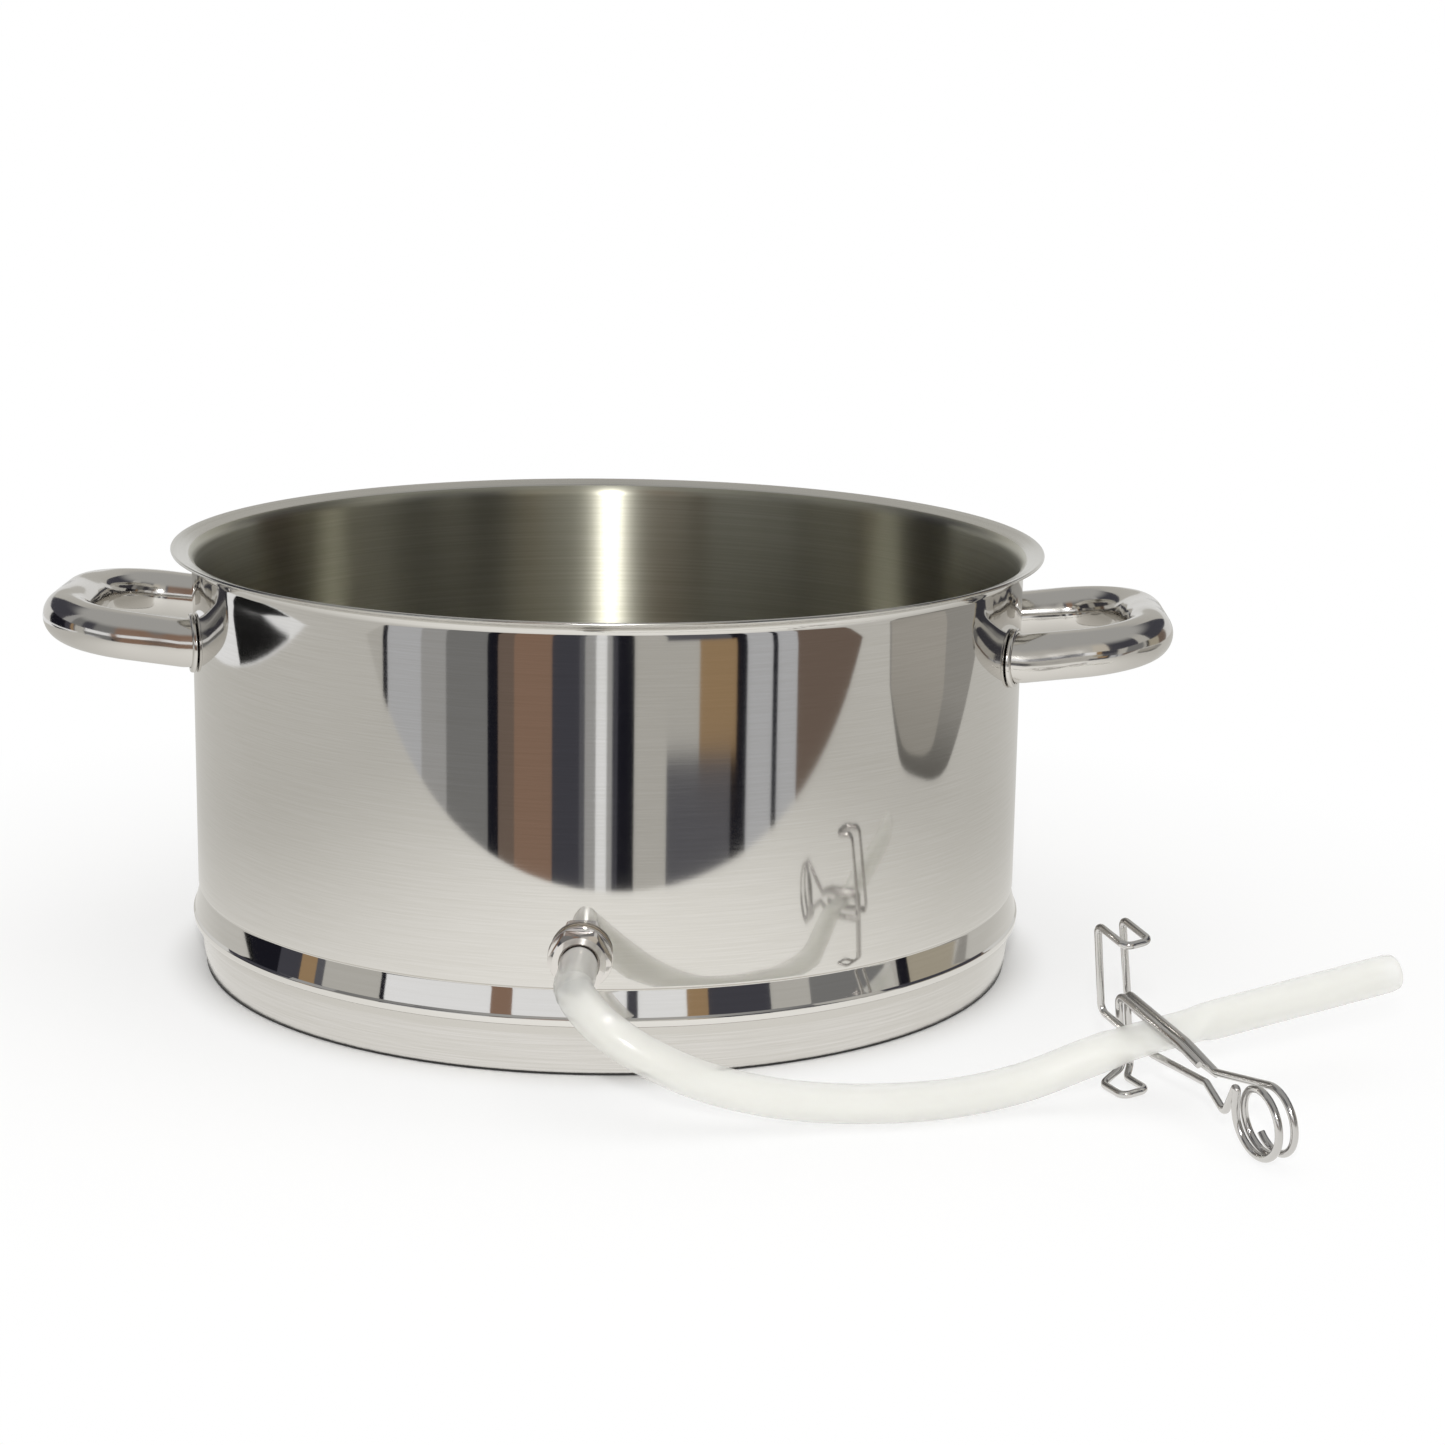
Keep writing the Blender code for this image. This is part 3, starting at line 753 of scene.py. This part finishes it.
def make_funnel():
    slope = FLOOR_FALL / (FLOOR_EDGE_R - FLOOR_HOLE_R)
    foot = FLOOR_TOP_Z + CLEAR + SHEET
    outline = sheet_outline([
        (FLOOR_HOLE_R + FLANGE_W, foot - slope * FLANGE_W + 0.0002),
        (FLOOR_HOLE_R + 0.0015, foot),
        (FUNNEL_TOP_R, foot + FUNNEL_H),
    ], [0.003])
    verts, faces = turned(outline, 120, upright)
    return add_piece("funnel", verts, faces, [INSIDE_STEEL], stands_for="steam_funnel")


make_juice_floor()
make_funnel()
print("floor top at mm:", round(1000 * FLOOR_TOP_Z, 1))

# %% [markdown]
# ## The handles
# Each handle is one polished tube, bent into a loop that rises a little
# outwards, and welded to the wall. Its ends are cut to the round of the wall,
# and a thin collar closes the weld. The tube is a set of rings along a path
# with rounded corners. The first and the last ring are moved along the leg
# until every point lies on the wall, which gives the curved cut without a
# Boolean. The collar is a small rounded section taken round the tube and moved
# to the wall in the same way.

# %% handle sizes
HANDLE_D = 0.0150
TUBE_WALL = 0.0012
HANDLE_Z = 0.1050
HANDLE_RISE = 0.0046
HANDLE_REACH = 0.0466
LEG = 0.0355
CORNER_R = 0.0240
COLLAR_T = 0.0014
COLLAR_WALL = 0.0013
TUBE_SIDES = 48


def wall_x(y, extra):
    return math.sqrt((WALL_R + extra) ** 2 - y * y)


def coped(sign, ring, extra):
    """Move a ring of points along X to the wall, extra outside it."""
    return [Vector((sign * wall_x(v[1], extra), v[1], v[2])) for v in ring]


print("handle leg meets the wall at mm:", round(1000 * wall_x(LEG, 0), 1))

# %% handle tubes and collars


def tube_rings(path, radius):
    rings = []
    for i, p in enumerate(path):
        a = path[max(i - 1, 0)]
        b = path[min(i + 1, len(path) - 1)]
        side = (b - a).normalized().cross(Vector((0, 0, 1)))
        rings.append([p + side * u + Vector((0, 0, w)) for u, w in circle(radius, TUBE_SIDES)])
    return rings


def make_tube(side, sign):
    loop_x = WALL_R + HANDLE_REACH - HANDLE_D / 2
    start = wall_x(LEG - HANDLE_D, CLEAR)
    path = round_corners([
        (sign * start, -LEG, HANDLE_Z),
        (sign * loop_x, -LEG, HANDLE_Z + HANDLE_RISE),
        (sign * loop_x, LEG, HANDLE_Z + HANDLE_RISE),
        (sign * start, LEG, HANDLE_Z),
    ], CORNER_R, 28, end_share=0.95)
    layers = []
    for radius in (HANDLE_D / 2, HANDLE_D / 2 - TUBE_WALL):
        rings = tube_rings(path, radius)
        layers.append([coped(sign, rings[0], CLEAR)] + rings + [coped(sign, rings[-1], CLEAR)])
    verts, faces = bridge(layers[0] + layers[1][::-1], True)
    return add_piece(side + "_tube", verts, faces, [HANDLE_STEEL],
                     stands_for=side + "_handle_tube")


def make_collar(side, sign, end, y):
    inner = HANDLE_D / 2 + CLEAR
    outer = inner + COLLAR_WALL
    low, high = CLEAR, CLEAR + COLLAR_T
    middle = (low + high) / 2
    section = flat_corners([
        (inner, middle), (inner, low), (outer, low), (outer, high), (inner, high), (inner, middle),
    ], [0.0002, 0.0003, 0.0008, 0.0004], 5)
    rings = []
    for point in section[1:]:
        ring = [(0.0, y + u, HANDLE_Z + w) for u, w in circle(point.x, 72)]
        rings.append(coped(sign, ring, point.y))
    verts, faces = bridge(rings, True)
    return add_piece(side + "_collar_" + end, verts, faces, [HANDLE_STEEL],
                     stands_for=side + "_handle_collar_" + end)


for side, sign in (("left", -1), ("right", 1)):
    make_tube(side, sign)
    make_collar(side, sign, "front", -LEG)
    make_collar(side, sign, "back", LEG)
print("two handles made")

# %% [markdown]
# ## The outlet
# The spigot is a turned stub: a round head inside, a threaded shank through
# the wall and a thin pipe for the hose. Two seals, a washer and a nut clamp it
# to the wall. Everything but the nut is turned about the spigot's own axis,
# which points at the viewer. The nut is a turned form too, whose radius
# follows the six flats and whose front is cut back by a cone at the corners.

# %% spigot, seals and washer
SHANK_R = 0.0050
SPIGOT_BORE = 0.0030
BARB_R = 0.0036
HEAD_R = 0.0085
HEAD_T = 0.0020
SEAL_T = 0.0012
WASHER_R = 0.0093
WASHER_T = 0.0010
NUT_AF = 0.0160
NUT_T = 0.0052
WALL_IN = WALL_R - SHEET
INSIDE = WALL_IN - (WALL_IN - math.sqrt(WALL_IN ** 2 - SEAL_R ** 2)) - CLEAR
HEAD_Y = INSIDE - SEAL_T - CLEAR
OUTSIDE = WALL_R + CLEAR
WASHER_Y = OUTSIDE + SEAL_T + CLEAR
NUT_Y = WASHER_Y + WASHER_T + CLEAR
NUT_END = NUT_Y + NUT_T


def along_spigot(x, y, h):
    return (x, -h, SPIGOT_Z + y)


def soft_ring(name, inner, outer, low, high, soften, finish, stands_for):
    mid = (low + high) / 2
    outline = flat_corners([
        (inner, mid), (inner, low), (outer, low), (outer, high), (inner, high), (inner, mid),
    ], soften, 4)
    verts, faces = turned([(p.x, p.y) for p in outline[1:]], 72, along_spigot)
    return add_piece(name, verts, faces, [finish], stands_for=stands_for)


def make_spigot():
    outline = flat_corners([
        (SPIGOT_BORE, HEAD_Y), (SPIGOT_BORE, HEAD_Y - HEAD_T), (HEAD_R, HEAD_Y - HEAD_T),
        (HEAD_R, HEAD_Y), (SHANK_R, HEAD_Y), (SHANK_R, NUT_END - CLEAR), (BARB_R, NUT_END - CLEAR),
        (BARB_R, NUT_END + BARB_L), (SPIGOT_BORE, NUT_END + BARB_L), (SPIGOT_BORE, HEAD_Y),
    ], [0.0002, 0.0007, 0.0003, 0.0002, 0.0003, 0.0002, 0.0003, 0.0002], 4)
    verts, faces = turned([(p.x, p.y) for p in outline[1:]], 64, along_spigot)
    return add_piece("spigot", verts, faces, [FITTING_STEEL], stands_for="outlet_spigot")


BORE = SHANK_R + CLEAR
SPIGOT = make_spigot()
soft_ring("seal_inside", BORE, SEAL_R, INSIDE - SEAL_T, INSIDE, 0.0003, SEAL_RUBBER,
          "inner_seal")
SEAL_OUT = soft_ring("seal_outside", BORE, SEAL_R, OUTSIDE, OUTSIDE + SEAL_T, 0.0003, SEAL_RUBBER,
                     "outer_seal")
WASHER = soft_ring("washer", BORE, WASHER_R, WASHER_Y, WASHER_Y + WASHER_T, 0.00035, FITTING_STEEL,
                   "outlet_washer")
print("nut face at mm:", round(1000 * NUT_END, 2))

# %% nut
NUT_SIDES = 6
PER_SIDE = 20
CONE_START = NUT_AF / 2 - 0.0004
CONE_SLOPE = 0.55
CORNER_WEAR = 0.0002
BORE_BREAK = 0.0006


def make_nut():
    count = NUT_SIDES * PER_SIDE
    rings = []
    for i in range(count):
        turn = 2 * math.pi * i / count
        local = (turn + math.pi / NUT_SIDES) % (2 * math.pi / NUT_SIDES) - math.pi / NUT_SIDES
        reach = NUT_AF / 2 / math.cos(local)
        reach = min(reach, NUT_AF / 2 / math.cos(math.pi / NUT_SIDES) - CORNER_WEAR)
        fall = (reach - CONE_START) * CONE_SLOPE
        profile = [
            (BORE, NUT_Y), (reach, NUT_Y), (reach, NUT_END - fall),
            (CONE_START, NUT_END), (BORE + BORE_BREAK, NUT_END), (BORE, NUT_END - BORE_BREAK),
        ]
        angle = turn + math.pi / 2
        rings.append([along_spigot(r * math.cos(angle), r * math.sin(angle), h) for r, h in profile])
    verts, faces = bridge(rings, True)
    return add_piece("nut", verts, faces, [FITTING_STEEL],
                     stands_for="outlet_nut", crisp=20.0)


NUT = make_nut()
print("nut faces:", len(NUT.data.polygons))

# %% [markdown]
# ## The pinch clamp
# The clamp is spring wire. From a coil at one end two arms cross each other
# and run to the hose: one pair of wires passes under it and rises into a
# finger loop, the other pair passes over it and drops into a second loop.
# Pressing the loops together opens the jaws. Each half is one round wire swept
# along a bent path, in the clamp's own axes: along the arms, along the coil
# and upwards. The upper jaw rides on its own body, because it turns about the
# coil.

# %% clamp sizes
WIRE_D = 0.0022
WIRE_R = WIRE_D / 2
COIL_R = 0.0093
COIL_PITCH = 0.0027
COIL_TURN = 485.0
COIL_END = 735.0
ARC_START = 310.0
ARC_TURN = 240.0
ARM_L = 0.0765
ARM_SPREAD = 0.0044
LOOP_W = 0.0080
CROSS_AT = 0.0260
CROSS_V = 0.0015
LOOP_H = 0.0280
LOOP_L = 0.0150
LOOP_LEAN = 0.0022
DROP_LEAN = 0.0030
DROP_SIDE = 0.0055
DROP_TILT = 0.0018
DROP_H = 0.0223
KINK_TOP = (0.0088, 0.0085)
KINK_FOOT = (0.0140, -0.0038)
CROSS_W = 0.0012
END_PAST = 0.0040
END_W = 0.0022
LOWER_FLAT = 0.0040
UPPER_FLAT = 0.0120
TIP_BACK = 0.0030
BEND_BACK = 0.0040
LOOP_SHORT = 0.0010
WIRE_BEND = 0.0026
WIRE_GAP = 0.0005
JAW_W = PINCH_T / 2 + CLEAR + WIRE_R
TWIN = WIRE_R + WIRE_GAP / 2
COIL_AXIS = (HOSE_DIR - ARM_DIR * HOSE_DIR.dot(ARM_DIR)).normalized()
CLAMP_UP = COIL_AXIS.cross(ARM_DIR)
COIL_WIDE = COIL_PITCH * COIL_TURN / 360


def in_clamp(points):
    return [COIL_AT + ARM_DIR * u + COIL_AXIS * v + CLAMP_UP * w for u, v, w in points]


def on_coil(degrees, v):
    turn = math.radians(degrees)
    return (COIL_R * math.cos(turn), v, COIL_R * math.sin(turn))


print("coil width in mm:", round(1000 * COIL_WIDE, 2))

# %% clamp wires
WIRE_SIDES = 20
COIL_STEP = 8.0


def make_wire(name, coil, arms, body, stands_for):
    path = in_clamp(coil) + round_corners(in_clamp(arms), WIRE_BEND, 7)
    verts, faces = swept(path, circle(WIRE_R, WIRE_SIDES), COIL_AXIS)
    return add_piece(name, verts, faces, [WIRE_STEEL], body, stands_for)


def make_lower_jaw():
    first = (COIL_WIDE - COIL_PITCH) / 2
    steps = round(COIL_TURN / COIL_STEP)
    coil = [on_coil(COIL_END - COIL_TURN * (1 - i / steps), first - COIL_WIDE * i / steps)
            for i in range(steps + 1)]
    near = first - COIL_WIDE
    s = ARM_SPREAD
    half = LOOP_W / 2
    top = LOOP_H - JAW_W
    tip = ARM_L - LOOP_L
    arms = [
        coil[-1],
        (KINK_TOP[0], near, KINK_TOP[1]),
        (KINK_FOOT[0], near, KINK_FOOT[1]),
        (CROSS_AT, -CROSS_V, -CROSS_W),
        (JAW_AT - LOWER_FLAT, -s, -JAW_W),
        (ARM_L, -s, -JAW_W),
        (ARM_L, -half - LOOP_LEAN, top),
        (tip, -half - LOOP_LEAN, top),
        (tip, half - LOOP_LEAN, top),
        (ARM_L, half - LOOP_LEAN, top),
        (ARM_L, s, -JAW_W),
        (JAW_AT - LOWER_FLAT, s, -JAW_W),
        (CROSS_AT + END_PAST, s, -END_W),
    ]
    return make_wire("lower_jaw", coil[:-1], arms, "kettle", "clamp_lower_jaw")


def make_upper_jaw():
    v = (COIL_WIDE + COIL_PITCH) / 2
    steps = round(ARC_TURN / COIL_STEP)
    arc = [on_coil(ARC_START - ARC_TURN * i / steps, v) for i in range(steps + 1)]
    s = TWIN
    bend = ARM_L - BEND_BACK
    foot = bend - DROP_LEAN
    low = JAW_W - DROP_H
    half = LOOP_W / 2
    end = foot - TIP_BACK
    tip = foot - LOOP_L + LOOP_SHORT
    arms = [
        arc[-1],
        (CROSS_AT, CROSS_V, CROSS_W),
        (JAW_AT - UPPER_FLAT, s, JAW_W),
        (bend, s, JAW_W),
        (foot, s, low),
        (end, half - DROP_SIDE, low - DROP_TILT),
        (tip, half - DROP_SIDE, low),
        (tip, -half - DROP_SIDE, low),
        (end, -half - DROP_SIDE, low - DROP_TILT),
        (foot, -s, low),
        (bend, -s, JAW_W),
        (JAW_AT - UPPER_FLAT, -s, JAW_W),
        (CROSS_AT + END_PAST, -s, END_W),
    ]
    return make_wire("upper_jaw", arc[:-1], arms, "upper_jaw", "clamp_upper_jaw")


LOWER_JAW = make_lower_jaw()
UPPER_JAW = make_upper_jaw()
print("clamp wires made")

# %% [markdown]
# ## The hose as a cord
# The hose is a free cord: it leaves the nut, it has its own length and
# thickness, and the clamp's jaws lie on it. This cell only prints a line.

print("the hose is a free cord")

# %% [markdown]
# ## The studio
# Polished steel shows what stands round it, so the studio matters as much as
# the finish. The kettle stands on a white sheet that ends a hand's width in
# front of the hose. Beyond it lies a room with upright panels, and that edge
# draws the dark round patch on the wall. A dark corner and a folded grey mat
# on the sheet draw the smaller patches beside the handles, and a shaded disc
# draws the dark line at the foot. The room's panels change with the height:
# the upright wall mirrors the low ones, the handles the middle ones and the
# leaning band the high ones. The camera sees only a pale floor with the
# kettle's shadow and a white world. The sheet and the room are cards that only
# reflections see, so they don't change the light.

# %% studio helpers


def stage_mesh(name, verts, faces, finish):
    mesh = bpy.data.meshes.new(name)
    mesh.from_pydata(verts, [], faces)
    mesh.materials.append(finish)
    obj = bpy.data.objects.new(name, mesh)
    bpy.context.scene.collection.objects.link(obj)
    return obj


def glow(name, color, strength):
    finish = bpy.data.materials.new(name)
    finish.use_nodes = True
    tree = finish.node_tree
    tree.nodes.remove(tree.nodes["Principled BSDF"])
    shader = tree.nodes.new('ShaderNodeEmission')
    shader.inputs["Color"].default_value = (*color, 1.0)
    shader.inputs["Strength"].default_value = strength
    tree.links.new(shader.outputs[0], tree.nodes["Material Output"].inputs["Surface"])
    return finish, tree, shader


def only_reflected(obj):
    obj.visible_camera = False
    obj.visible_diffuse = False
    obj.visible_shadow = False


def fade(tree, value, start, end, low=0.0, high=1.0):
    """Ease a value from low to high between a start and an end."""
    return between(tree, value, start, end, low, high, eased=True)


# %% floor
SHADOW_RING = (0.126, 0.144)
SHADOW_WHITE = 0.12
PALE_RING = (0.14, 0.36)
PALE_WHITE = 0.66
FLOOR_REACH = 6.0


def make_floor():
    """Pale near the kettle, so its shadow shows, and white further off."""
    finish, tree, shader = glow("floor_white", (1.0, 1.0, 1.0), 1.0)
    matt = tree.nodes.new('ShaderNodeBsdfDiffuse')
    matt.inputs["Color"].default_value = (0.90, 0.90, 0.89, 1.0)
    coords = tree.nodes.new('ShaderNodeTexCoord')
    length = tree.nodes.new('ShaderNodeVectorMath')
    length.operation = 'LENGTH'
    tree.links.new(coords.outputs["Object"], length.inputs[0])
    near = fade(tree, length.outputs["Value"], *SHADOW_RING, SHADOW_WHITE)
    white = fade(tree, length.outputs["Value"], *PALE_RING, PALE_WHITE)
    white = math_node(tree, 'MULTIPLY', white, near)
    path = tree.nodes.new('ShaderNodeLightPath')
    direct = math_node(tree, 'MAXIMUM', path.outputs["Is Camera Ray"], path.outputs["Is Transmission Ray"])
    share = math_node(tree, 'MULTIPLY', direct, white)
    mix = tree.nodes.new('ShaderNodeMixShader')
    tree.links.new(share, mix.inputs["Fac"])
    tree.links.new(matt.outputs[0], mix.inputs[1])
    tree.links.new(shader.outputs[0], mix.inputs[2])
    tree.links.new(mix.outputs[0], tree.nodes["Material Output"].inputs["Surface"])
    corners = [(x * FLOOR_REACH, y * FLOOR_REACH, 0) for x, y in ((-1, -1), (1, -1), (1, 1), (-1, 1))]
    floor = stage_mesh("floor", corners, [(0, 1, 2, 3)], finish)
    floor.visible_glossy = False
    return floor


make_floor()
print("floor made")

# %% sheet and things on it
SHEET_EDGE = [(-0.84, -0.405), (0.95, -0.243), (0.95, 1.20), (-0.06, 1.20)]
DARK_CORNER = [(-0.575, 0.150), (-0.690, -0.080), (-0.730, 0.080), (-0.700, 0.250), (-0.660, 0.240)]
MAT = [(0.80, -0.170), (0.60, -0.145), (0.440, -0.095), (0.405, 0.010), (0.500, 0.130), (0.64, 0.31),
       (0.86, 0.21)]
MAT_BENDS = [0.10, 0.05, 0.08, 0.10, 0.04]
TONGUE = [(0.76, -0.155), (0.59, -0.138), (0.470, -0.090), (0.455, -0.010), (0.570, 0.060), (0.76, 0.130)]
TONGUE_BENDS = [0.10, 0.05, 0.05, 0.10]
LIT_SPOT = (0.02, -0.20, 0.0)
FOOT_SHADE_R = SKIRT_R + 0.0016


def make_card(name, corners, height, near, far=None, reach=(0.04, 0.44)):
    """A flat card that lies on the floor and shows only in reflections. Its
    tone goes from near to far, if given, with the distance from the lit spot."""
    far = far or near
    finish, tree, shader = glow(name, near, 1.0)
    coords = tree.nodes.new('ShaderNodeTexCoord')
    away = tree.nodes.new('ShaderNodeVectorMath')
    away.operation = 'DISTANCE'
    away.inputs[1].default_value = LIT_SPOT
    tree.links.new(coords.outputs["Object"], away.inputs[0])
    falloff = fade(tree, away.outputs["Value"], *reach)
    tree.links.new(blend_colors(tree, falloff, near, far), shader.inputs["Color"])
    verts = [(x, y, height) for x, y in corners]
    only_reflected(stage_mesh(name, verts, [tuple(range(len(verts)))], finish))


make_card("white_sheet", SHEET_EDGE, -0.0006, (1.05, 1.04, 1.01), (0.63, 0.62, 0.59))
make_card("foot_shade", circle(FOOT_SHADE_R, 96), -0.0002, (0.06, 0.06, 0.06))
make_card("dark_corner", DARK_CORNER, -0.0003, (0.012, 0.012, 0.012))
make_card("grey_mat", flat_corners(MAT, MAT_BENDS, 8), -0.0004,
          (0.13, 0.125, 0.115), (0.34, 0.33, 0.31), (0.40, 0.62))
make_card("mat_fold", flat_corners(TONGUE, TONGUE_BENDS, 8), -0.0003,
          (0.36, 0.345, 0.315), (0.43, 0.41, 0.375), (0.46, 0.70))
print("cards on the floor made")

# %% room panels
WHITE = (0.95, 0.96, 0.98)
CHALK = (0.78, 0.78, 0.77)
MIST = (0.54, 0.55, 0.575)
CREAM = (0.62, 0.58, 0.51)
PALE = (0.54, 0.53, 0.50)
GREY = (0.40, 0.40, 0.40)
SAND = (0.44, 0.40, 0.32)
IRON = (0.22, 0.22, 0.22)
LEAD = (0.12, 0.12, 0.135)
SLATE = (0.065, 0.065, 0.08)
DARK = (0.012, 0.012, 0.018)
CLAY = (0.28, 0.18, 0.13)
BROWN = (0.18, 0.135, 0.11)
AMBER = (0.37, 0.25, 0.14)
ROOM_R = 2.6
ROOM_ENDS = (-2.0, 0.75)
FOOT_EDGE = (-0.50, -0.48)
LOW_EDGE = (-0.24, -0.18)
MID_EDGE = (0.18, 0.24)
LOW_PANELS = [
    (-180, WHITE), (-72, PALE), (-58, DARK), (-57.4, MIST), (-47, GREY), (-39.7, IRON),
    (-28.5, DARK), (-26.6, BROWN), (-21.5, CLAY), (-11.6, SLATE), (-5, LEAD), (-3, GREY),
    (-1.2, WHITE), (2, GREY), (3.2, SLATE), (4.6, DARK), (9.6, PALE), (26.5, AMBER),
    (36, DARK), (38.3, MIST), (45.4, DARK), (46.5, MIST), (52.6, BROWN), (80, WHITE),
]
HIGH_PANELS = [
    (-180, CHALK), (-117, DARK), (-93, SLATE), (-85, AMBER), (-79, LEAD), (-76, PALE), (-58.5, DARK),
    (-57.5, WHITE), (-27, CLAY), (-22, WHITE), (7.5, SLATE), (11, WHITE), (23.5, AMBER), (29, SLATE),
    (46, PALE), (57, IRON), (81, PALE), (85.5, DARK), (89, SAND), (111, BROWN), (127.5, CHALK),
]


def other_panels(panels, start, end, instead):
    """The same panels with those between two angles exchanged."""
    return [panel for panel in panels if not start < panel[0] < end] + instead


FOOT_PANELS = other_panels(LOW_PANELS, 18, 37, [(18, LEAD), (35, DARK)])
MID_PANELS = other_panels(HIGH_PANELS, -58, 46, [
    (-57.5, IRON), (-27, BROWN), (-19, CLAY), (-8, LEAD), (0, PALE), (20, SAND), (30, LEAD),
])


def panel_ramp(tree, around, panels):
    """Constant tones by the angle round the kettle, 0 in front."""
    ramp = tree.nodes.new('ShaderNodeValToRGB')
    ramp.color_ramp.interpolation = 'CONSTANT'
    stops = ramp.color_ramp.elements
    stops.remove(stops[-1])
    for i, (degrees, color) in enumerate(panels):
        place = degrees / 360 + 0.5
        stop = stops[0] if i == 0 else stops.new(place)
        stop.position = place
        stop.color = (*color, 1.0)
    tree.links.new(around, ramp.inputs["Fac"])
    return ramp.outputs["Color"]


def angle_around(tree, coords):
    """Share of a turn round the kettle and the height, from coordinates."""
    parts = tree.nodes.new('ShaderNodeSeparateXYZ')
    tree.links.new(coords, parts.inputs[0])
    ahead = math_node(tree, 'MULTIPLY', parts.outputs["Y"], -1.0)
    angle = math_node(tree, 'ARCTAN2', parts.outputs["X"], ahead)
    turns = math_node(tree, 'DIVIDE', angle, 2 * math.pi)
    return math_node(tree, 'ADD', turns, 0.5), parts.outputs["Z"]


def make_room():
    finish, tree, shader = glow("room_panels", (0.3, 0.3, 0.3), 1.0)
    coords = tree.nodes.new('ShaderNodeTexCoord')
    around, height = angle_around(tree, coords.outputs["Object"])
    foot = panel_ramp(tree, around, FOOT_PANELS)
    low = panel_ramp(tree, around, LOW_PANELS)
    middle = panel_ramp(tree, around, MID_PANELS)
    high = panel_ramp(tree, around, HIGH_PANELS)
    below = blend_colors(tree, fade(tree, height, *FOOT_EDGE), foot, low)
    above = blend_colors(tree, fade(tree, height, *MID_EDGE), middle, high)
    both = blend_colors(tree, fade(tree, height, *LOW_EDGE), below, above)
    tree.links.new(both, shader.inputs["Color"])
    rings = [[(x, y, h) for x, y in circle(ROOM_R, 96)] for h in ROOM_ENDS]
    verts, faces = bridge(rings, False)
    only_reflected(stage_mesh("room", verts, faces, finish))


make_room()
print("panels in the room:", sum(map(len, (FOOT_PANELS, LOW_PANELS, MID_PANELS, HIGH_PANELS))))

# %% lamps and world
UPPER_PANELS = [
    (-180, PALE), (-150, SLATE), (-100, GREY), (-86, IRON), (-62, SLATE), (-44, IRON), (-20, CLAY),
    (-7, LEAD), (0, PALE), (16, CREAM), (34, SLATE), (72, PALE), (94, SLATE), (150, PALE),
]
CEILING = (0.45, 0.45, 0.44)
CEILING_EDGE = (0.60, 0.85)


def make_lamp(name, at, aim, width, height, power):
    data = bpy.data.lights.new(name, 'AREA')
    data.shape = 'RECTANGLE'
    data.size = width
    data.size_y = height
    data.energy = power
    lamp = bpy.data.objects.new(name, data)
    bpy.context.scene.collection.objects.link(lamp)
    lamp.location = at
    lamp.rotation_mode = 'QUATERNION'
    lamp.rotation_quaternion = (Vector(aim) - Vector(at)).to_track_quat('-Z', 'Y')
    return lamp


def make_world():
    """White to the camera, a dim room with a bright ceiling to the rest."""
    world = bpy.data.worlds.new("studio")
    world.use_nodes = True
    tree = world.node_tree
    back = tree.nodes["Background"]
    coords = tree.nodes.new('ShaderNodeTexCoord')
    around, height = angle_around(tree, coords.outputs["Generated"])
    walls = panel_ramp(tree, around, UPPER_PANELS)
    room = blend_colors(tree, fade(tree, height, *CEILING_EDGE), walls, CEILING)
    path = tree.nodes.new('ShaderNodeLightPath')
    direct = math_node(tree, 'MAXIMUM', path.outputs["Is Camera Ray"], path.outputs["Is Transmission Ray"])
    seen = blend_colors(tree, direct, room, (1.0, 1.0, 1.0))
    tree.links.new(seen, back.inputs["Color"])
    bpy.context.scene.world = world


TOP_LAMP = make_lamp("top_softbox", (0.0, -0.1, 1.9), (0, 0, 0.05), 2.4, 2.4, 26.0)
TOP_LAMP.visible_glossy = False
make_lamp("front_lamp", (0.05, -1.02, 0.45), (0, 0, 0.08), 0.06, 0.06, 4.5)
make_world()
bpy.context.scene.view_settings.view_transform = 'Standard'
print("studio lit")
